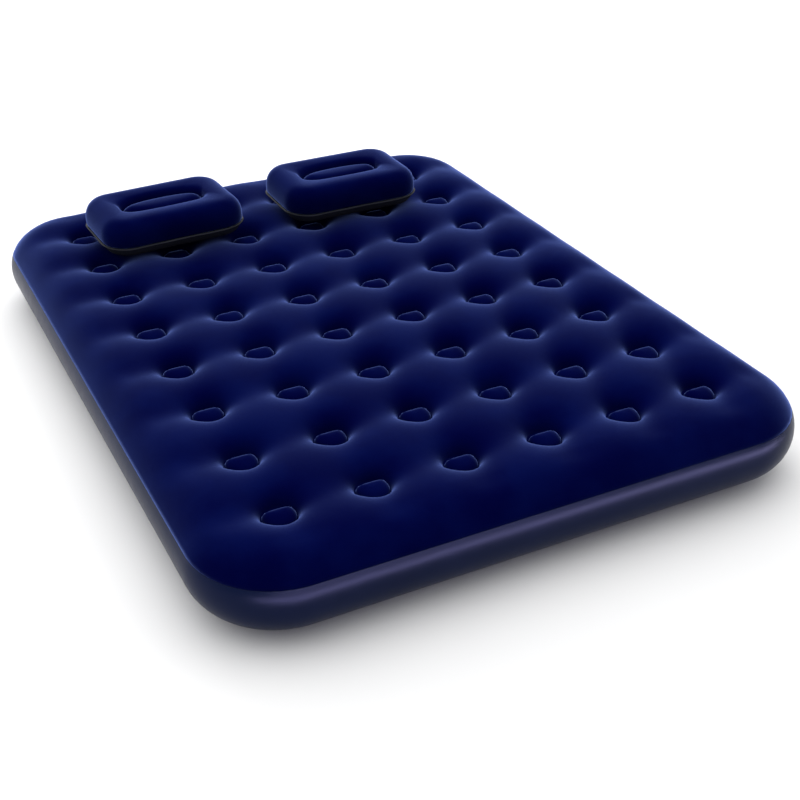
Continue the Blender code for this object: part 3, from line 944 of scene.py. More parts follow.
@dataclass
class Dimples:
    """The grid of round welds that hold the top down, each with a raised pad that is cut off straight.

    Around each weld the sheet rises over a short wall and a wide bowl, and it is highest half-way
    between welds.
    """

    columns: int = 6
    rows: int = 8
    pitch_x: float = 1.292 / 6
    pitch_y: float = 1.802 / 8
    weld: float = 0.040
    wall_depth: float = 0.012
    wall_reach: float = 0.0065
    bowl_depth: float = 0.045
    bowl_reach: float = 0.095
    bowl_power: float = 3.0
    crest_lift: float = 0.0095
    pad_radius: float = 0.0385
    pad_chord: float = 0.018
    pad_centre: float = -0.008
    pad_rise: float = 0.025
    pad_near_share: float = 0.35
    pad_power: float = 3.5
    corner_sharpness: float = 10.0

    def half(self) -> np.ndarray:
        """Half the size of the whole grid of cells."""
        return np.array((self.columns * self.pitch_x, self.rows * self.pitch_y)) / 2

    def centres(self) -> np.ndarray:
        """The welds' middles, one row each.

        Returns:
            An (n, 2) array.
        """
        xs = (np.arange(self.columns) - (self.columns - 1) / 2) * self.pitch_x
        ys = (np.arange(self.rows) - (self.rows - 1) / 2) * self.pitch_y
        return np.array([(x, y) for y in ys for x in xs])

    def pad_outline(self, angle: np.ndarray) -> np.ndarray:
        """Distance from the pad's middle to its edge, which is straight towards the head end.

        Args:
            angle: directions from the pad's middle, in radians.

        Returns:
            The distances.
        """
        sine, cosine = np.sin(angle), np.cos(angle)
        to_arc = -self.pad_centre * sine + np.sqrt(self.pad_radius**2 - (self.pad_centre * cosine) ** 2)
        to_chord = (self.pad_chord - self.pad_centre) / np.maximum(sine, 1e-3)
        n = self.corner_sharpness
        return (to_arc**-n + to_chord**-n) ** (-1 / n)

    def sag(self, flat: np.ndarray) -> np.ndarray:
        """How far the welds pull the sheet down at each point of an (n, 2) array, pads included.

        Args:
            flat: the points, seen from above.

        Returns:
            The depths.
        """
        rounded = np.maximum(self.smooth_distance(flat), self.weld_distance())
        bowl = np.log1p((self.bowl_reach / rounded) ** self.bowl_power)
        deepest = math.log1p((self.bowl_reach / self.weld_distance()) ** self.bowl_power)
        total = self.bowl_depth * bowl / deepest - self.crest_lift
        for centre in self.centres():
            away = flat - centre
            radius = np.linalg.norm(away, axis=1)
            outside = np.maximum(radius - self.weld, 0.0)
            total += self.wall_depth * np.exp(-outside / self.wall_reach)
            inside = radius < self.weld
            total[inside] -= self.pad(away[inside])
        return total

    def smooth_distance(self, flat: np.ndarray) -> np.ndarray:
        """Distance from the nearest weld's middle, levelling off half-way between welds.

        Args:
            flat: the points, seen from above, in an (n, 2) array.

        Returns:
            The distances.
        """
        pitch, half = np.array((self.pitch_x, self.pitch_y)), self.half()
        beyond = np.maximum(np.abs(flat) - half, 0.0)
        wave = pitch / math.pi * np.cos(math.pi * np.clip(flat, -half, half) / pitch)
        return np.sqrt((wave**2 + beyond**2).sum(axis=1))

    def weld_distance(self) -> float:
        """The smooth distance at a weld's edge."""
        return self.pitch_x / math.pi * math.sin(math.pi * self.weld / self.pitch_x)

    def pad(self, away: np.ndarray) -> np.ndarray:
        """Height of the pad above the weld at points about a weld's middle.

        Args:
            away: the points, measured from the weld's middle.

        Returns:
            The heights.
        """
        local = away - (0.0, self.pad_centre)
        share = np.linalg.norm(local, axis=1) / self.pad_outline(np.arctan2(local[:, 1], local[:, 0]))
        dome = np.sqrt(np.maximum(0.0, 1 - np.minimum(share, 1.0) ** self.pad_power))
        back = np.clip((away[:, 1] + self.pad_radius) / (self.pad_chord + self.pad_radius), 0, 1) ** 0.8
        return self.pad_rise * dome * (self.pad_near_share + (1 - self.pad_near_share) * back)


@dataclass
class Bed:
    """Sizes that the bed's three sheets share, read from the frame."""

    corner: float = 0.21
    bulge: float = 0.125
    power: float = 2.1
    ring_steps: tuple[int, int, int] = (24, 40, 56)
    dimples: Dimples = field(default_factory=Dimples)

    def __post_init__(self) -> None:
        """Read the overall sizes from the frame's boxes."""
        band_low, band_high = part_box("side_band")
        top_low, top_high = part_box("top_sheet")
        self.width = round(band_high.x - band_low.x, 4)
        self.length = round(band_high.y - band_low.y, 4)
        self.height = top_high.z
        self.flock_edge = top_low.z
        self.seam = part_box("bottom_sheet")[1].z
        self.outline = RoundedRectangle(self.width, self.length, self.corner)
        self.swell = Swell(self.height, self.bulge, self.power)

    def valve_place(self) -> Matrix:
        """Where the two-way valve's own axes go: its Z points out of the head end.

        Returns:
            A matrix from the valve's own axes to the bed's.
        """
        low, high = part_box("valve_base")
        origin = Vector(((low.x + high.x) / 2, self.length / 2, (low.z + high.z) / 2))
        return Matrix.Translation(origin) @ Matrix.Rotation(-math.pi / 2, 4, "X")

    def side_ring(self, height: float, sink: float = 0.0) -> list[Point]:
        """A fine ring of the bed's side at a height, or sunk behind its surface."""
        return self.level_ring(self.swell.inset(height) + sink, height)

    def level_ring(self, inset: float, height: float) -> list[Point]:
        """A fine ring inside the bed's outline at a height."""
        return raised(self.outline.ring(inset, *self.ring_steps), height)


@dataclass
class MattressTop:
    """Flocked top sheet: polar quads around every weld, then rings down to the flock's edge."""

    bed: Bed
    finishes: Finishes
    per_side: int = 12
    cell_rings: int = 11
    edge_rings: int = 11
    ease: float = 1.9
    first_inset: float = 0.100
    held_edge: float = 0.004
    thickness: float = 0.0012

    def cell(self) -> tuple[np.ndarray, np.ndarray]:
        """Points around a cell's border and the angles at which they meet the weld.

        Returns:
            The points, measured from the weld's middle, and the angles in radians.
        """
        n = self.per_side
        steps = np.arange(n) / n
        half_x, half_y = self.bed.dimples.pitch_x / 2, self.bed.dimples.pitch_y / 2
        low, high = -1 + 2 * steps, 1 - 2 * steps
        right = np.stack((np.ones(n), low), 1)
        back = np.stack((high, np.ones(n)), 1)
        left = np.stack((-np.ones(n), high), 1)
        front = np.stack((low, -np.ones(n)), 1)
        border = np.concatenate((right, back, left, front)) * (half_x, half_y)
        angles = -math.pi / 4 + np.arange(4 * n) * math.pi / 2 / n
        return border, angles

    def drawn_out(self, flat: np.ndarray, inset: float) -> np.ndarray:
        """Where points on the border of the whole grid of cells go on the bed's outline.

        Args:
            flat: points on the grid's border.
            inset: how far inside the outline they go.

        Returns:
            The points on the outline.
        """
        outline, dimples = self.bed.outline, self.bed.dimples
        half = dimples.half()
        centre = np.array((outline.width, outline.length)) / 2 - outline.radius
        sign, size = np.sign(flat), np.abs(flat)
        reach = half - centre
        on_side = np.isclose(size[:, 0], half[0])
        along = np.where(on_side, size[:, 1] - centre[1], reach[1] + half[0] - size[:, 0])
        turn = np.clip(along / reach.sum(), 0, 1) * math.pi / 2
        arc = centre + (outline.radius - inset) * np.stack((np.cos(turn), np.sin(turn)), 1)
        straight_y = size[:, 0] <= centre[0]
        straight_x = size[:, 1] <= centre[1]
        arc[straight_y, 0] = size[straight_y, 0]
        arc[straight_x, 1] = size[straight_x, 1]
        return np.where(sign == 0, 1, sign) * arc

    def build_cell(self, shell: Shell, centre: np.ndarray, grid_half: np.ndarray) -> None:
        """Add one weld's polar patch.

        Args:
            shell: the mesh being made.
            centre: the weld's middle.
            grid_half: half the size of the whole grid of cells.
        """
        dimples = self.bed.dimples
        border, angles = self.cell()
        border = border + centre
        edge = np.isclose(np.abs(border), grid_half).any(axis=1)
        shift = np.zeros_like(border)
        shift[edge] = self.drawn_out(border[edge], self.first_inset) - border[edge]
        rays = np.stack((np.cos(angles), np.sin(angles)), 1)
        weld = centre + dimples.weld * rays
        rings = []
        for k in range(self.cell_rings, -1, -1):
            share = (k / self.cell_rings) ** self.ease
            rings.append(weld + (border - weld) * share + shift * share**2)
        middle = centre + (0.0, dimples.pad_centre)
        pad = dimples.pad_outline(angles)[:, None] * rays
        rings.append((weld + middle + pad * 1.02) / 2)
        rings.extend(middle + pad * share for share in (1.0, 0.96, 0.88, 0.7, 0.4))
        numbers = shell.stack([raised(ring) for ring in rings])
        shell.close(numbers[-1], (*middle, 0.0))

    def border_ring(self, grid_half: np.ndarray) -> np.ndarray:
        """Points around the whole grid of cells, counter-clockwise.

        Args:
            grid_half: half the size of the whole grid of cells.

        Returns:
            An (n, 2) array.
        """
        across = self.bed.dimples.columns * self.per_side
        along = self.bed.dimples.rows * self.per_side
        xs = np.linspace(-1, 1, across + 1)[:-1] * grid_half[0]
        ys = np.linspace(-1, 1, along + 1)[:-1] * grid_half[1]
        right = np.stack((np.full(along, grid_half[0]), ys), 1)
        back = np.stack((-xs, np.full(across, grid_half[1])), 1)
        return np.concatenate((right, back, -right, -back))

    def build(self) -> bpy.types.Object:
        """Make the sheet, blow it up, dress it and hand it over.

        Returns:
            The sheet.
        """
        bed, dimples = self.bed, self.bed.dimples
        shell = Shell()
        grid_half = dimples.half()
        for centre in dimples.centres():
            self.build_cell(shell, centre, grid_half)
        border = self.border_ring(grid_half)
        last = bed.swell.inset(bed.flock_edge)
        insets = bed.swell.insets_between(self.first_inset, last, self.edge_rings)
        rings = [raised(self.drawn_out(border, inset)) for inset in insets]
        shell.stack(rings[::-1])
        mesh = shell.mesh("mattress_top")
        points = read_points(mesh)
        inset = bed.outline.inset_of(points[:, :2])
        share = np.clip((inset - last) / (self.first_inset - last), 0.0, 1.0)
        fade = share * share * (3 - 2 * share)
        points[:, 2] = bed.swell.height(inset) - dimples.sag(points[:, :2]) * fade
        write_points(mesh, points)
        top = add_object("mattress_top", mesh, self.finishes.flock)
        away = [np.linalg.norm(points[:, :2] - centre, axis=1) for centre in dimples.centres()]
        welded = np.min(away, axis=0) <= dimples.weld * 1.01
        held = (welded | (inset <= last + self.held_edge)).astype(float)
        AirPressure(pressure=3.0, limit=0.008).blow_up(top, held)
        thicken(top, self.thickness)
        return hand_over(top, "bed_top", ("top_sheet",))


@dataclass
class SideBand:
    """Glossy vinyl band round the bed, from the bottom weld up to the flocked sheet."""

    bed: Bed
    finishes: Finishes
    thickness: float = 0.0009
    gap: float = 0.0005
    loops: int = 22
    hole: float = 0.0210
    hole_reach: float = 0.06
    hole_steps: int = 64
    patch_lap: float = 0.0035
    patch_rings: int = 6
    patch_thickness: float = 0.0012
    press_depth: float = 0.0003
    press_width: float = 0.007

    def pressed(self, height: float) -> float:
        """How far the weld's press marks sink the sheet at a height.

        Args:
            height: the height on the bed's side.

        Returns:
            The depth.
        """
        low, high = self.bed.seam + self.gap, self.bed.flock_edge - self.gap
        nearest = min(height - low, high - height)
        return self.press_depth * math.exp(-((nearest / self.press_width) ** 4))

    def build(self) -> bpy.types.Object:
        """Make the band with its valve hole, stretched upright by the share of its height left when the
        top has sunk, and its patch.

        Returns:
            The band.
        """
        bed = self.bed
        low, high = bed.seam + self.gap, bed.flock_edge - self.gap
        turns = [math.pi * k / self.loops for k in range(self.loops + 1)]
        heights = [low + (high - low) * (1 - math.cos(turn)) / 2 for turn in turns]
        shell = Shell()
        shell.stack([bed.side_ring(height, self.pressed(height)) for height in heights])
        band = add_object("side_band_skin", shell.mesh("side_band_skin"), self.finishes.side)
        thicken(band, self.thickness)
        keep = 1 - joint("top_sink")["range_m"][1] / (bed.flock_edge - bed.seam)
        upright = Matrix.Diagonal((1.0, 1 / keep, 1.0, 1.0))
        drill(band, self.hole, self.hole_reach, self.hole_steps, bed.valve_place() @ upright)
        hand_over(band, "bed_base", ("side_band",))
        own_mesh(band)
        self.patch(keep)
        return band

    def patch(self, keep: float) -> bpy.types.Object:
        """Make the stiff round patch that is welded over the valve's hole and stays with the valve.

        Args:
            keep: how much of the band's height is left when the top has sunk.

        Returns:
            The patch.
        """
        middle = self.bed.valve_place().translation
        widest = self.hole / keep + self.patch_lap
        shell = Shell()
        rings = []
        for step in range(self.patch_rings + 1):
            radius = widest + (self.hole - widest) * step / self.patch_rings
            lift = self.patch_thickness + self.gap - (self.press_depth if step in (1, 2) else 0.0)
            ring = []
            for side in range(self.hole_steps):
                angle = -2 * math.pi * side / self.hole_steps
                x, z = middle.x + radius * math.cos(angle), middle.z + radius * math.sin(angle)
                ring.append((x, self.bed.length / 2 - self.bed.swell.inset(z) + lift, z))
            rings.append(ring)
        shell.stack(rings)
        patch = add_object("valve_patch", shell.mesh("valve_patch"), self.finishes.side)
        thicken(patch, self.patch_thickness)
        return hand_over(patch, "valve_seat")


@dataclass
class BottomSheet:
    """Vinyl sheet under the bed, flat in the middle, with its edge turned up to the weld."""

    bed: Bed
    finishes: Finishes
    thickness: float = 0.0009
    gap: float = 0.0003
    levels: tuple[float, ...] = (1.0, 0.8, 0.6, 0.42, 0.27, 0.15, 0.07, 0.02, 0.0)
    flat_insets: tuple[float, ...] = (0.14, 0.20)

    def build(self) -> bpy.types.Object:
        """Make the sheet and hand it over.

        Returns:
            The sheet.
        """
        bed = self.bed
        shell = Shell()
        rings = [bed.side_ring((bed.seam - self.gap) * level) for level in self.levels]
        rings += [bed.level_ring(inset, 0.0) for inset in self.flat_insets]
        numbers = shell.stack(rings)
        shell.close(numbers[-1], (0.0, 0.0, 0.0))
        shell.turn_round()
        sheet = add_object("bottom_skin", shell.mesh("bottom_skin"), self.finishes.base)
        thicken(sheet, self.thickness)
        return hand_over(sheet, "bed_base", ("bottom_sheet",))


@dataclass
class CoilBeams:
    """Eight rows of six upright vinyl tubes that tie the top to the bottom, each row on its tape."""

    bed: Bed
    finishes: Finishes
    wall: float = 0.001
    sides: int = 40
    tape_height: float = 0.016
    tape_thickness: float = 0.0012
    tape_level: float = 0.080

    def row(self, number: int) -> bpy.types.Object:
        """Make one row with a node tree: a line of points, a tube on each, and the tape.

        Args:
            number: the row's number in the frame.

        Returns:
            The row.
        """
        dimples = self.bed.dimples
        low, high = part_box(f"coil_row_{number}")
        tree = Tree(
            f"coil_row_{number}",
            {
                "Beams": dimples.columns,
                "Pitch": dimples.pitch_x,
                "Radius": (high.y - low.y) / 2,
                "Wall": self.wall,
                "Bottom": low.z,
                "Top": high.z,
                "Row": (low.y + high.y) / 2,
                "Tape Level": self.tape_level,
                "Tape Height": self.tape_height,
                "Tape Thickness": self.tape_thickness,
            },
        )
        given = tree.source.outputs
        span = tree.math("MULTIPLY", given["Pitch"], tree.math("SUBTRACT", given["Beams"], 1.0))
        height = tree.math("SUBTRACT", given["Top"], given["Bottom"])
        level = tree.math("MULTIPLY", tree.math("ADD", given["Top"], given["Bottom"]), 0.5)
        start = tree.vector(tree.math("MULTIPLY", span, -0.5), given["Row"], level)
        line = tree.node(
            "GeometryNodeMeshLine",
            {"Count": given["Beams"], "Start Location": start, "Offset": tree.vector(given["Pitch"])},
        )
        middle = tree.math("SUBTRACT", given["Radius"], tree.math("MULTIPLY", given["Wall"], 0.5))
        around = {"Resolution": self.sides, "Radius": middle}
        circle = tree.node("GeometryNodeCurvePrimitiveCircle", around).outputs[0]
        section = {"Width": given["Wall"], "Height": height}
        profile = tree.node("GeometryNodeCurvePrimitiveQuadrilateral", section).outputs[0]
        tube = tree.node("GeometryNodeCurveToMesh", {"Curve": circle, "Profile Curve": profile})
        beams = tree.node(
            "GeometryNodeInstanceOnPoints", {"Points": line.outputs[0], "Instance": tube.outputs[0]}
        )
        size = tree.vector(span, given["Tape Thickness"], given["Tape Height"])
        tape = tree.node("GeometryNodeMeshCube", {"Size": size})
        moved = tree.node(
            "GeometryNodeTransform",
            {
                "Geometry": tape.outputs[0],
                "Translation": tree.vector(0.0, given["Row"], given["Tape Level"]),
            },
        )
        both = tree.node("GeometryNodeJoinGeometry")
        tree.group.links.new(beams.outputs[0], both.inputs[0])
        tree.group.links.new(moved.outputs[0], both.inputs[0])
        return tree.object(f"coil_beams_{number}", both.outputs[0], self.finishes.coil)

    def build(self) -> list[bpy.types.Object]:
        """Make all rows, each fastened to the base on a mesh of its own.

        Returns:
            The rows.
        """
        rows = []
        for number in range(1, self.bed.dimples.rows + 1):
            row = self.row(number)
            hand_over(row, "bed_base", (f"coil_row_{number}",))
            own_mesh(row)
            rows.append(row)
        return rows


# ---------------------------------------------------------------- two-way valve


@dataclass
class TwoWayValve:
    """Welded base, screw-in insert with a notched head, ribbed screw cap and the cap's strap."""

    bed: Bed
    finishes: Finishes
    steps: int = 72
    bore: float = 0.0170
    collar: float = 0.0205
    flange: float = 0.0255
    flange_thickness: float = 0.0014
    insert: float = 0.0165
    insert_bore: float = 0.0125
    neck: float = 0.0155
    head: float = 0.0225
    head_thickness: float = 0.0025
    thread_turns: int = 2
    thread_pitch: float = 0.0030
    thread_depth: float = 0.0006
    thread_start: float = 0.0016
    notches: int = 24
    cap_inner: float = 0.0159
    cap_outer: float = 0.0194
    cap_top: float = 0.0034
    cap_chamfer: float = 0.0012
    cap_dish: float = 0.0008
    rib_height: float = 0.0006
    grip_ribs: int = 36
    boss: float = 0.0030
    boss_head: float = 0.0046
    boss_head_thickness: float = 0.0018
    strap_thickness: float = 0.0010
    strap_width: float = 0.0060
    strap_clear: float = 0.0045
    strap_bend: float = 0.0030
    strap_lap: float = 0.0010
    gap: float = 0.0003
    edge: float = 0.0004

    def __post_init__(self) -> None:
        """Find the valve's axis and the levels of its pieces from the frame's boxes."""
        self.place = self.bed.valve_place()
        self.levels = {
            node: tuple(corner.y - self.place.translation.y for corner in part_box(node))
            for node in (
                "valve_base", "valve_insert", "insert_seal", "cap_seal", "valve_cap", "cap_strap"
            )
        }

    def base(self) -> None:
        """The collar and the flange that is welded behind the band."""
        low, high = self.levels["valve_base"]
        top = low + self.flange_thickness
        section = [
            (self.bore, low),
            (self.flange, low),
            (self.flange, top),
            (self.collar, top),
            (self.collar, high),
            (self.bore, high),
        ]
        base = lathe("valve_collar", section, self.steps, self.finishes.plastic)
        finish_turned(base, self.place, self.edge)
        hand_over(base, "valve_seat", ("valve_base",))

    def ribs(
        self, name: str, radius: float, size: Point, count: int, level: float
    ) -> bpy.types.Object:
        """Grip ribs around a turned piece, made by a node tree.

        Args:
            name: the ribs' name.
            radius: of the circle that their middles stand on.
            size: out from the axis, around it and along it.
            count: how many.
            level: their middles' height on the axis.

        Returns:
            The ribs, in the valve's own axes.
        """
        out, around, along = size
        sizes = {"Radius": radius, "Out": out, "Around": around, "Along": along, "Level": level}
        tree = Tree(name, {"Ribs": count, **sizes})
        given = tree.source.outputs
        ring = {"Vertices": given["Ribs"], "Radius": given["Radius"]}
        circle = tree.node("GeometryNodeMeshCircle", ring)
        lifted = tree.node(
            "GeometryNodeTransform",
            {"Geometry": circle.outputs[0], "Translation": tree.vector(0.0, 0.0, given["Level"])},
        )
        block = tree.vector(given["Out"], given["Around"], given["Along"])
        rib = tree.node("GeometryNodeMeshCube", {"Size": block})
        number = tree.node("GeometryNodeInputIndex").outputs[0]
        step = tree.math("DIVIDE", 2 * math.pi, given["Ribs"])
        turn = tree.vector(0.0, 0.0, tree.math("MULTIPLY", number, step))
        placed = tree.node(
            "GeometryNodeInstanceOnPoints",
            {"Points": lifted.outputs[0], "Instance": rib.outputs[0], "Rotation": turn},
        )
        return tree.object(name, placed.outputs[0], self.finishes.plastic)

    def insert_piece(self) -> None:
        """The screw-in insert: sleeve, head with notches for the fingers, and threaded neck."""
        low, high = self.levels["valve_insert"]
        head_low = self.levels["insert_seal"][1] + self.gap
        head_high = head_low + self.head_thickness
        section = [(self.insert_bore, low), (self.insert, low), (self.insert, head_low)]
        section += [(self.head, head_low), (self.head, head_high), (self.neck, head_high)]
        root = self.neck - self.thread_depth
        level = head_high + self.thread_start
        for _ in range(self.thread_turns):
            section.append((self.neck, level))
            section.append((root, level + self.thread_pitch / 4))
            section.append((self.neck, level + self.thread_pitch / 2))
            level += self.thread_pitch
        section += [(self.neck, high), (self.insert_bore, high)]
        insert = lathe("valve_insert_body", section, self.steps, self.finishes.plastic)
        notch, middle = (0.0016, 0.0022, 0.0021), (head_low + head_high) / 2
        cut(insert, self.ribs("insert_ribs", self.head, notch, self.notches, middle))
        finish_turned(insert, self.place, self.edge / 3)
        hand_over(insert, "valve_insert_body", ("valve_insert",))

    def cap(self) -> None:
        """The ribbed screw cap with the strap's knob."""
        low, high = self.levels["valve_cap"]
        ceiling = self.levels["cap_seal"][1] + self.gap
        top = ceiling + self.cap_top
        knob = high - self.boss_head_thickness
        skirt = self.cap_outer - self.rib_height
        section = [
            (0.0, ceiling),
            (self.cap_inner, ceiling),
            (self.cap_inner, low),
            (skirt, low),
            (skirt, top - self.cap_chamfer),
            (skirt - self.cap_chamfer, top),
            (self.boss_head + 0.004, top),
            (self.boss_head + 0.003, top - self.cap_dish),
            (self.boss, top - self.cap_dish),
            (self.boss, knob),
            (self.boss_head, knob),
            (self.boss_head - 0.0008, high),
            (0.0, high),
        ]
        cap = lathe("valve_cap_body", section, self.steps, self.finishes.plastic)
        tall = top - 0.0014 - low
        rib = (0.0016, 0.0015, tall - 0.0004)
        ribs = self.ribs("cap_ribs", self.cap_outer - 0.0008, rib, self.grip_ribs, low + tall / 2)
        cut(cap, ribs, "UNION")
        finish_turned(cap, self.place, self.edge / 2)
        hand_over(cap, "valve_cap_body", ("valve_cap",))

    def strap(self) -> None:
        """The soft strap: a ring round the neck, a bent arm and a ring round the cap's knob."""
        low, high = self.levels["cap_strap"]
        thick, soft = self.strap_thickness, self.finishes.soft
        strap = self.strap_arm(low + thick / 2, high - thick / 2)
        lower = [(self.neck + self.gap, low), (self.cap_outer, low)]
        lower += [(radius, low + thick) for radius, _ in reversed(lower)]
        cut(strap, lathe("neck_ring", lower, self.steps, soft), "UNION")
        upper = [(self.boss + self.gap, high - thick), (self.boss_head + 0.0008, high - thick)]
        upper += [(radius, high) for radius, _ in reversed(upper)]
        cut(strap, lathe("knob_ring", upper, self.steps // 2, soft), "UNION")
        finish_turned(strap, self.place, self.edge / 2)
        hand_over(strap, "valve_insert_body", ("cap_strap",))

    def strap_arm(self, low: float, high: float) -> bpy.types.Object:
        """The strap's arm, from the neck out past the cap, up and back to the knob.

        Args:
            low: height of its middle line beside the neck.
            high: height of its middle line beside the knob.

        Returns:
            The arm, in the valve's own axes.
        """
        bend, steps, quarter = self.strap_bend, 8, 90
        side = bend - self.cap_outer - self.strap_clear
        line = [(-self.neck - self.gap - self.strap_lap, low), (side, low)]
        for z, start in ((low + bend, -quarter), (high - bend, -2 * quarter)):
            for step in range(1, steps + 1):
                angle = math.radians(start - step * quarter / steps)
                line.append((side + bend * math.cos(angle), z + bend * math.sin(angle)))
        line.append((0.0006 - self.boss_head, high))
        shell = Shell()
        rings = []
        half, wide = self.strap_thickness / 2, self.strap_width / 2
        corners = ((1, -wide), (1, wide), (-1, wide), (-1, -wide))
        for k, (x, z) in enumerate(line):
            before, after = line[max(k - 1, 0)], line[min(k + 1, len(line) - 1)]
            ahead = Vector((after[0] - before[0], after[1] - before[1])).normalized() * half
            rings.append([(x + sign * ahead.y, y, z - sign * ahead.x) for sign, y in corners])
        numbers = shell.stack(rings)
        shell.faces.append(tuple(numbers[0][::-1]))
        shell.faces.append(tuple(numbers[-1]))
        mesh = shell.mesh("cap_strap_band")
        repaired(mesh, lambda bm: bmesh.ops.recalc_face_normals(bm, faces=bm.faces))
        return add_object("cap_strap_band", mesh, self.finishes.soft)

    def build(self) -> None:
        """Make the valve's pieces, and dress the hidden ones that keep the frame's shape."""
        self.base()
        self.insert_piece()
        self.cap()
        self.strap()
        dress(self.finishes.rubber, "insert_seal", "valve_flap", "cap_seal")


def dress(material: bpy.types.Material, *nodes: str) -> None:
    """Give the frame's own pieces a finish.

    Args:
        material: the finish.
        nodes: the pieces' names in the frame.
    """
    for node in nodes:
        obj = frame["nodes"][node]
        obj.data.materials.clear()
        obj.data.materials.append(material)
        LOG.info("%s keeps the frame's shape", node)


# ---------------------------------------------------------------- pillows


@dataclass
class Pillow:
    """A blown-up pillow: flocked top with an oval recess, dull bottom with a welded rim, a valve."""

    side: Side
    finishes: Finishes
    width: float = 0.430
    depth: float = 0.300
    height: float = 0.105
    corner: float = 0.080
    bulge: float = 0.050
    power: float = 2.2
    seam: float = 0.034
    rim: float = 0.0045
    rim_droop: float = 0.0050
    slot_length: float = 0.250
    slot_width: float = 0.098
    slot_power: float = 2.3
    slot_shift: float = 0.004
    slot_depth: float = 0.046
    island_rise: float = 0.030
    thickness: float = 0.0010
    arc: int = 10
    across: int = 14
    along: int = 8
    side_rings: int = 5
    crown_rings: int = 8
    slot_rings: int = 9
    flat_inset: float = 0.072
    seam_hold: float = 0.15
    valve_hole: float = 0.0076

    def __post_init__(self) -> None:
        """Find where the pillow lies from the frame's boxes and its valve's axis."""
        low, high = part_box(f"{self.side.value}_pillow_bottom_sheet")
        out = joint(f"{self.side.value}_pillow_stem_out")["axis"]
        self.turn = math.atan2(-out[0], out[1])
        middle = ((low.x + high.x) / 2, (low.y + high.y) / 2, low.z)
        self.place = Matrix.Translation(middle) @ Matrix.Rotation(self.turn, 4, "Z")
        self.body = f"{self.side.value}_pillow"
        self.outline = RoundedRectangle(self.width, self.depth, self.corner)
        self.slot = RoundedRectangle(self.slot_length, self.slot_width, self.slot_width * 0.47)
        self.slot_bottom = self.height - self.slot_depth
        self.swell = Swell(self.height, self.bulge, self.power)

    def flat(self, inset: float) -> np.ndarray:
        """The pillow's outline moved inwards."""
        return self.outline.ring(inset, self.arc, self.across, self.along)

    def oval(self, inset: float) -> np.ndarray:
        """The recess's outline moved inwards, with as many points as the pillow's.

        Args:
            inset: how far the outline is moved inwards.

        Returns:
            An (n, 2) array.
        """
        half = np.array((self.slot_length, self.slot_width)) / 2
        around = self.slot.ring(0.0, self.arc, self.across, self.along) / half
        rays = around / np.linalg.norm(around, axis=1, keepdims=True)
        rounded = np.sign(rays) * np.abs(rays) ** (2 / self.slot_power)
        return rounded * (half - inset) + (0.0, self.slot_shift)

    def top_rings(self) -> list[list[Point]]:
        """Rings of the top sheet from the seam over the crown into the recess.

        Returns:
            The points of each ring.
        """
        rings = []
        for step in range(self.side_rings):
            height = self.seam + (self.height / 2 - self.seam) * step / self.side_rings
            rings.append(raised(self.flat(self.swell.inset(height)), height))
        for inset in self.swell.insets_between(0.0, self.bulge, self.crown_rings):
            height = float(self.swell.height(np.array([inset]))[0])
            rings.append(raised(self.flat(inset), height))
        crown, weld = self.flat(self.bulge), self.oval(0.0)
        for step in range(1, self.slot_rings + 1):
            share = 1 - (1 - step / self.slot_rings) ** 1.5
            drop = self.slot_depth * (1 - (1 - share**2.6) ** (1 / 2.2))
            rings.append(raised(crown + (weld - crown) * share, self.height - drop))
        for share in (0.05, 0.12, 0.25, 0.42, 0.62, 0.82):
            lift = self.island_rise * (1 - (1 - share) ** 3) ** 0.6
            rings.append(raised(self.oval(share * self.slot_width / 2), self.slot_bottom + lift))
        return rings

    def bottom_rings(self) -> list[list[Point]]:
        """Rings of the bottom sheet from under the seam to the flat part that it lies on.

        Returns:
            The points of each ring.
        """
        rings = []
        for share in (0.78, 0.56, 0.36, 0.2, 0.08, 0.02):
            height = self.seam * share
            rings.append(raised(self.flat(self.swell.inset(height)), height))
        for inset in (self.bulge, self.flat_inset):
            rings.append(raised(self.flat(inset), 0.0))
        return rings

    def blown_up(self) -> tuple[np.ndarray, list[Face], list[Face], list[int]]:
        """Blow both sheets up together.

        Returns:
            The points, the top's faces, the bottom's faces and the numbers of the seam's points.
        """
        shell = Shell()
        rings = shell.stack(self.top_rings())
        shell.close(rings[-1], (0.0, self.slot_shift, self.slot_bottom + self.island_rise))
        split = len(shell.faces)
        seam = rings[0]
        previous = seam
        for points in self.bottom_rings():
            current = shell.ring(points)
            shell.bridge(current, previous)
            previous = current
        fan = len(shell.faces)
        shell.close(previous, (0.0, 0.0, 0.0))
        shell.turn_round(fan)
        trial = add_object(f"{self.body}_trial", shell.mesh("trial", merge=False), self.finishes.flock)
        AirPressure(pressure=5.0, limit=0.008, tension=25.0).blow_up(trial, self.held(trial, seam))
        points = read_points(trial.data)
        points[:, 2] = np.maximum(points[:, 2], 0.0) * self.height / points[:, 2].max()
        bpy.data.objects.remove(trial)
        return points, shell.faces[:split], shell.faces[split:], seam

    def held(self, trial: bpy.types.Object, seam: list[int]) -> np.ndarray:
        """How firmly each point is held while the pillow is blown up.

        Args:
            trial: both sheets in one object.
            seam: the numbers of the seam's points.

        Returns:
            1 inside the recess, a little on the seam and 0 elsewhere.
        """
        points, slack = read_points(trial.data), 0.001
        low, high = self.slot_bottom - slack, self.slot_bottom + self.island_rise + slack
        half = np.array((self.slot_length, self.slot_width)) / 2 + slack
        inside = (np.abs(points[:, :2] - (0.0, self.slot_shift)) <= half).all(axis=1)
        held = (inside & (points[:, 2] > low) & (points[:, 2] < high)).astype(float)
        held[seam] = np.maximum(held[seam], self.seam_hold)
        return held

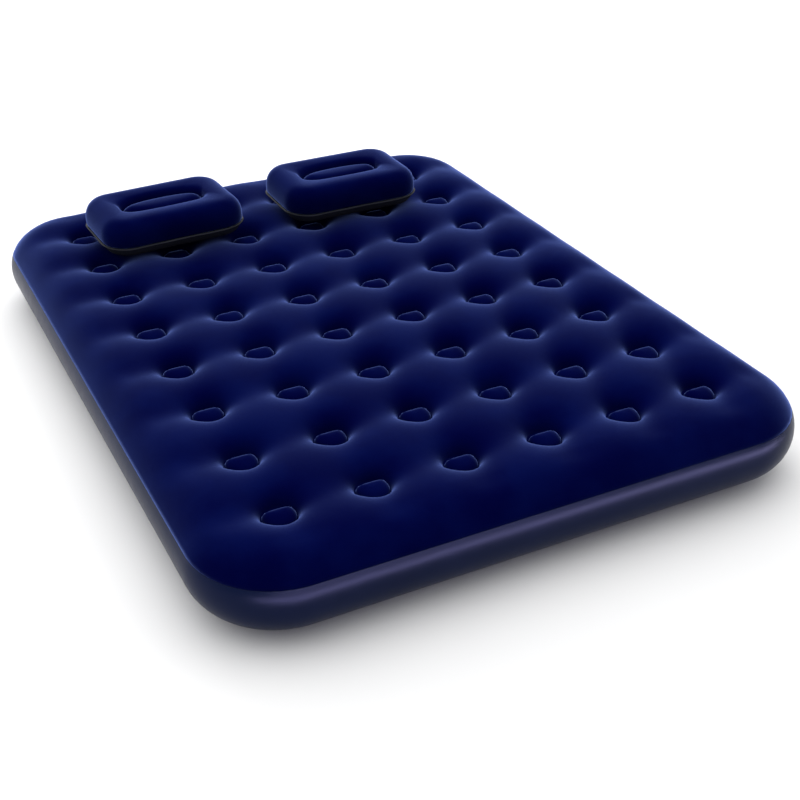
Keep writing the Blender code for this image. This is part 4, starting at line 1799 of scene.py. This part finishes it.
    def sheet(
        self, name: str, points: np.ndarray, faces: list[Face], material: bpy.types.Material
    ) -> bpy.types.Object:
        """Make one of the two sheets from the blown-up shape, a little finer and with its thickness.

        Args:
            name: the sheet's name.
            points: the points of both sheets.
            faces: the faces of this one.
            material: its finish.

        Returns:
            The sheet, in the pillow's own axes.
        """
        mesh = bpy.data.meshes.new(name)
        mesh.from_pydata([tuple(p) for p in points], [], faces)
        repaired(mesh, drop_loose_points)
        mesh.shade_smooth()
        obj = add_object(name, mesh, material)
        finer = obj.modifiers.new("finer", "SUBSURF")
        finer.levels = finer.render_levels = 1
        return thicken(obj, self.thickness)

    def with_rim(self, points: np.ndarray, seam: list[int]) -> tuple[np.ndarray, list[Face]]:
        """The welded rim outside the seam: a narrow strip that droops a little and waves.

        Args:
            points: the blown-up points.
            seam: the numbers of the seam's points.

        Returns:
            All points with the strip's added, and the strip's faces.
        """
        edge = points[seam]
        ahead = np.roll(edge, -1, axis=0) - np.roll(edge, 1, axis=0)
        out = np.stack((ahead[:, 1], -ahead[:, 0]), 1)
        out /= np.linalg.norm(out, axis=1, keepdims=True)
        run = np.cumsum(np.linalg.norm(ahead, axis=1)) / 2
        wave = 0.0007 * np.sin(run / 0.021) + 0.0004 * np.sin(run / 0.009 + 1.0)
        strip = edge.copy()
        strip[:, :2] += out * self.rim
        strip[:, 2] += wave - self.rim_droop
        shell = Shell()
        shell.bridge(seam, list(range(len(points), len(points) + len(seam))))
        return np.concatenate((points, strip)), shell.faces

    def build(self) -> None:
        """Make the pillow's sheets, put them in place and add the valve."""
        points, top_faces, bottom_faces, seam = self.blown_up()
        top = self.sheet(f"{self.body}_top", points, top_faces, self.finishes.flock)
        wider, rim_faces = self.with_rim(points, seam)
        bottom = self.sheet(
            f"{self.body}_bottom", wider, rim_faces + bottom_faces, self.finishes.pillow_base
        )
        valve = PillowValve(self)
        drill(top, self.valve_hole, 0.02, 32, valve.local)
        sheets = ((top, Slot.FLOCK, "top_sheet"), (bottom, Slot.PILLOW_BASE, "bottom_sheet"))
        for obj, slot, node in sheets:
            obj.data.transform(self.place)
            hand_over(obj, self.body, (f"{self.body}_{node}",))
        dress(self.finishes.coil, f"{self.body}_inner_wall")
        valve.build()


@dataclass
class PillowValve:
    """Small push-in valve in a pillow's back: socket, stem, flap and a plug with a pull tab."""

    pillow: Pillow
    steps: int = 40
    stem: float = 0.0057
    bore: float = 0.0038
    length: float = 0.0170
    socket: float = 0.0060
    socket_outer: float = 0.0073
    flange: float = 0.0120
    flange_level: float = -0.0061
    flange_thickness: float = 0.0009
    out: float = 0.0010
    stem_rim: tuple[float, float] = (0.0013, 0.0025)
    plug_length: float = 0.0080
    plug_head: float = 0.0015
    tab: Point = (0.0095, 0.0034, 0.0009)
    edge: float = 0.00025
    gap: float = 0.0003

    def __post_init__(self) -> None:
        """Find the valve's axis on the pillow's back."""
        pillow = self.pillow
        site = Matrix.Translation((0.0, pillow.depth / 2, pillow.height / 2))
        self.local = site @ Matrix.Rotation(-math.pi / 2, 4, "X")
        self.place = pillow.place @ self.local

    def turned(
        self, part: str, section: Section, body: str, pieces: Sequence[bpy.types.Object] = ()
    ) -> None:
        """Make one turned piece and hand it over.

        Args:
            part: the piece's name within the valve.
            section: its section.
            body: what it rides on.
            pieces: closed shapes that are joined to it.
        """
        side = self.pillow.side.value
        obj = lathe(f"{side}_pillow_{part}_moulding", section, self.steps, self.pillow.finishes.soft)
        for piece in pieces:
            cut(obj, piece, "UNION")
        finish_turned(obj, self.place, self.edge)
        hand_over(obj, body, (f"{side}_pillow_{part}",))

    def build(self) -> None:
        """Make the socket, the stem and the plug, and dress the flap."""
        side = self.pillow.side.value
        back, front = self.flange_level, self.flange_level + self.flange_thickness
        socket = [
            (self.socket, back),
            (self.flange, back),
            (self.flange, front),
            (self.socket_outer, front),
            (self.socket_outer, self.out),
            (self.socket, self.out),
        ]
        self.turned("valve_base", socket, f"{side}_pillow")
        rim_low, rim_high = self.stem_rim
        end = rim_high - self.length
        stem = [
            (self.bore, end),
            (self.stem, end),
            (self.stem, rim_low),
            (self.socket + 0.0010, rim_low),
            (self.socket + 0.0010, rim_high),
            (self.bore, rim_high),
        ]
        self.turned("valve_stem", stem, f"{side}_pillow_stem")
        head_low = rim_high + self.gap
        head_high = head_low + self.plug_head
        head = self.bore + 0.0024
        plug = [
            (0.0, head_low - self.plug_length),
            (self.bore - 0.0009, head_low - self.plug_length),
            (self.bore - self.gap, head_low),
            (head, head_low),
            (head, head_high),
            (0.0, head_high),
        ]
        tab = self.pull_tab(head - 0.0012, (head_low + head_high) / 2)
        self.turned("valve_plug", plug, f"{side}_pillow_plug", [tab])
        dress(self.pillow.finishes.soft, f"{side}_pillow_valve_flap")

    def pull_tab(self, start: float, level: float) -> bpy.types.Object:
        """A flat block that reaches out from the plug's head, from a radius, at a level.

        Args:
            start: how far from the axis it begins.
            level: its middle's height on the axis.

        Returns:
            The tab.
        """
        mesh = bpy.data.meshes.new("tab")
        middle = Matrix.Translation((start + self.tab[0] / 2, 0.0, level))
        repaired(mesh, lambda bm: bmesh.ops.create_cube(bm, size=1.0))
        mesh.transform(middle @ Matrix.Diagonal((*self.tab, 1.0)))
        return add_object("tab", mesh, self.pillow.finishes.soft)


# ---------------------------------------------------------------- studio


@dataclass(frozen=True)
class Studio:
    """Pale floor, soft lights and the camera."""

    azimuth: float = math.radians(25.84)
    pitch: float = math.radians(30.85)
    roll: float = -0.0154
    lens: float = 58.52
    stand: Point = (-1.2680, -2.8806, 1.7616)
    bright_side: Point = (0.20, 0.72, 0.66)
    dim: float = 0.22
    bright: float = 2.0
    gloss_colour: Colour = (0.66, 0.62, 1.0)
    floor_reach: float = 14.0
    floor_level: float = -0.0005
    backdrop_radius: float = 30.0

    def camera(self) -> None:
        """Put the camera in its place and make it the scene's."""
        data = bpy.data.cameras.new("camera")
        data.lens = self.lens
        data.sensor_width = 36.0
        data.clip_end = 60.0
        camera = bpy.data.objects.new("camera", data)
        tilt = Matrix.Rotation(math.pi / 2 - self.pitch, 4, "X") @ Matrix.Rotation(self.roll, 4, "Z")
        turn = Matrix.Rotation(-self.azimuth, 4, "Z")
        camera.matrix_world = Matrix.Translation(self.stand) @ turn @ tilt
        bpy.context.scene.collection.objects.link(camera)
        bpy.context.scene.camera = camera

    def lamp(
        self, name: str, place: Vector, target: Vector, size: tuple[float, float], power: float
    ) -> bpy.types.Object:
        """Add a soft box.

        Args:
            name: the lamp's name.
            place: where it stands.
            target: what it points at.
            size: its width and height.
            power: in watts.

        Returns:
            The lamp.
        """
        data = bpy.data.lights.new(name, "AREA")
        data.shape = "RECTANGLE"
        data.size, data.size_y = size
        data.energy = power
        lamp = bpy.data.objects.new(name, data)
        lamp.location = place
        lamp.rotation_euler = (target - place).to_track_quat("-Z", "Y").to_euler()
        lamp.visible_camera = False
        bpy.context.scene.collection.objects.link(lamp)
        return lamp

    def floor(self) -> None:
        """Add the pale floor that the bed lies on."""
        mesh = bpy.data.meshes.new("floor")
        corners = np.array(((-1, -1), (1, -1), (1, 1), (-1, 1))) * self.floor_reach
        mesh.from_pydata(raised(corners, self.floor_level), [], [(0, 1, 2, 3)])
        graph = Graph("floor")
        graph.colour(graph.mix(graph.noise(1.5, 2.0), (0.86, 0.86, 0.865), (0.90, 0.90, 0.90)))
        graph.set(Roughness=0.9, Specular_IOR_Level=0.2)
        add_object("floor", mesh, graph.material)

    def backdrop(self) -> None:
        """Add the plain white surroundings; only the camera sees them."""
        mesh = bpy.data.meshes.new("backdrop")
        radius = self.backdrop_radius
        repaired(mesh, lambda bm: bmesh.ops.create_icosphere(bm, subdivisions=4, radius=radius))
        graph = Graph("backdrop")
        graph.set(Base_Color=(0.0, 0.0, 0.0, 1.0), Specular_IOR_Level=0.0)
        graph.set(Emission_Color=(1.0, 1.0, 1.0, 1.0), Emission_Strength=1.0)
        backdrop = add_object("backdrop", mesh, graph.material)
        for ray in ("diffuse", "glossy", "transmission", "volume_scatter", "shadow"):
            setattr(backdrop, f"visible_{ray}", False)

    def dome(self, tree: bpy.types.NodeTree) -> None:
        """Make the light tent: bright above the head end, dim behind whoever stands at the foot end.

        Args:
            tree: the world's node tree.
        """
        background = next(n for n in tree.nodes if n.type == "BACKGROUND")
        background.inputs["Color"].default_value = (1.0, 1.0, 1.0, 1.0)
        toward = tree.nodes.new("ShaderNodeVectorMath")
        toward.operation = "DOT_PRODUCT"
        toward.inputs[1].default_value = self.bright_side
        tree.links.new(tree.nodes.new("ShaderNodeTexCoord").outputs["Generated"], toward.inputs[0])
        strength = tree.nodes.new("ShaderNodeMapRange")
        strength.inputs["From Min"].default_value = -0.4
        strength.inputs["To Min"].default_value = self.dim
        strength.inputs["To Max"].default_value = self.bright
        tree.links.new(toward.outputs["Value"], strength.inputs["Value"])
        tree.links.new(strength.outputs["Result"], background.inputs["Strength"])

    def build(self) -> None:
        """Set up the whole studio."""
        self.camera()
        self.floor()
        self.backdrop()
        world = bpy.data.worlds.new("studio")
        world.use_nodes = True
        self.dome(world.node_tree)
        bpy.context.scene.world = world
        bpy.context.scene.view_settings.view_transform = "Standard"
        middle, low = Vector((0.0, 0.0, 0.1)), Vector((0.3, -1.9, 0.01))
        self.lamp("head_end", Vector((0.8, 4.6, 2.6)), middle, (4.5, 2.0), 110.0)
        above = self.lamp("foot_end", Vector((-0.2, -5.2, 1.0)), middle, (5.0, 0.7), 250.0)
        reflector = self.lamp("reflector", low, Vector((0.3, -1.9, 1.0)), (3.4, 0.9), 400.0)
        for gloss in (above, reflector):
            gloss.data.color = self.gloss_colour
            gloss.visible_diffuse = False


def main() -> None:
    """Build the bed piece by piece, in the order of its parts list."""
    finishes = Finishes()
    Studio().build()
    bed = Bed()
    MattressTop(bed, finishes).build()
    SideBand(bed, finishes).build()
    BottomSheet(bed, finishes).build()
    CoilBeams(bed, finishes).build()
    TwoWayValve(bed, finishes).build()
    for side in Side:
        Pillow(side, finishes).build()


if __name__ == "__main__":
    main()
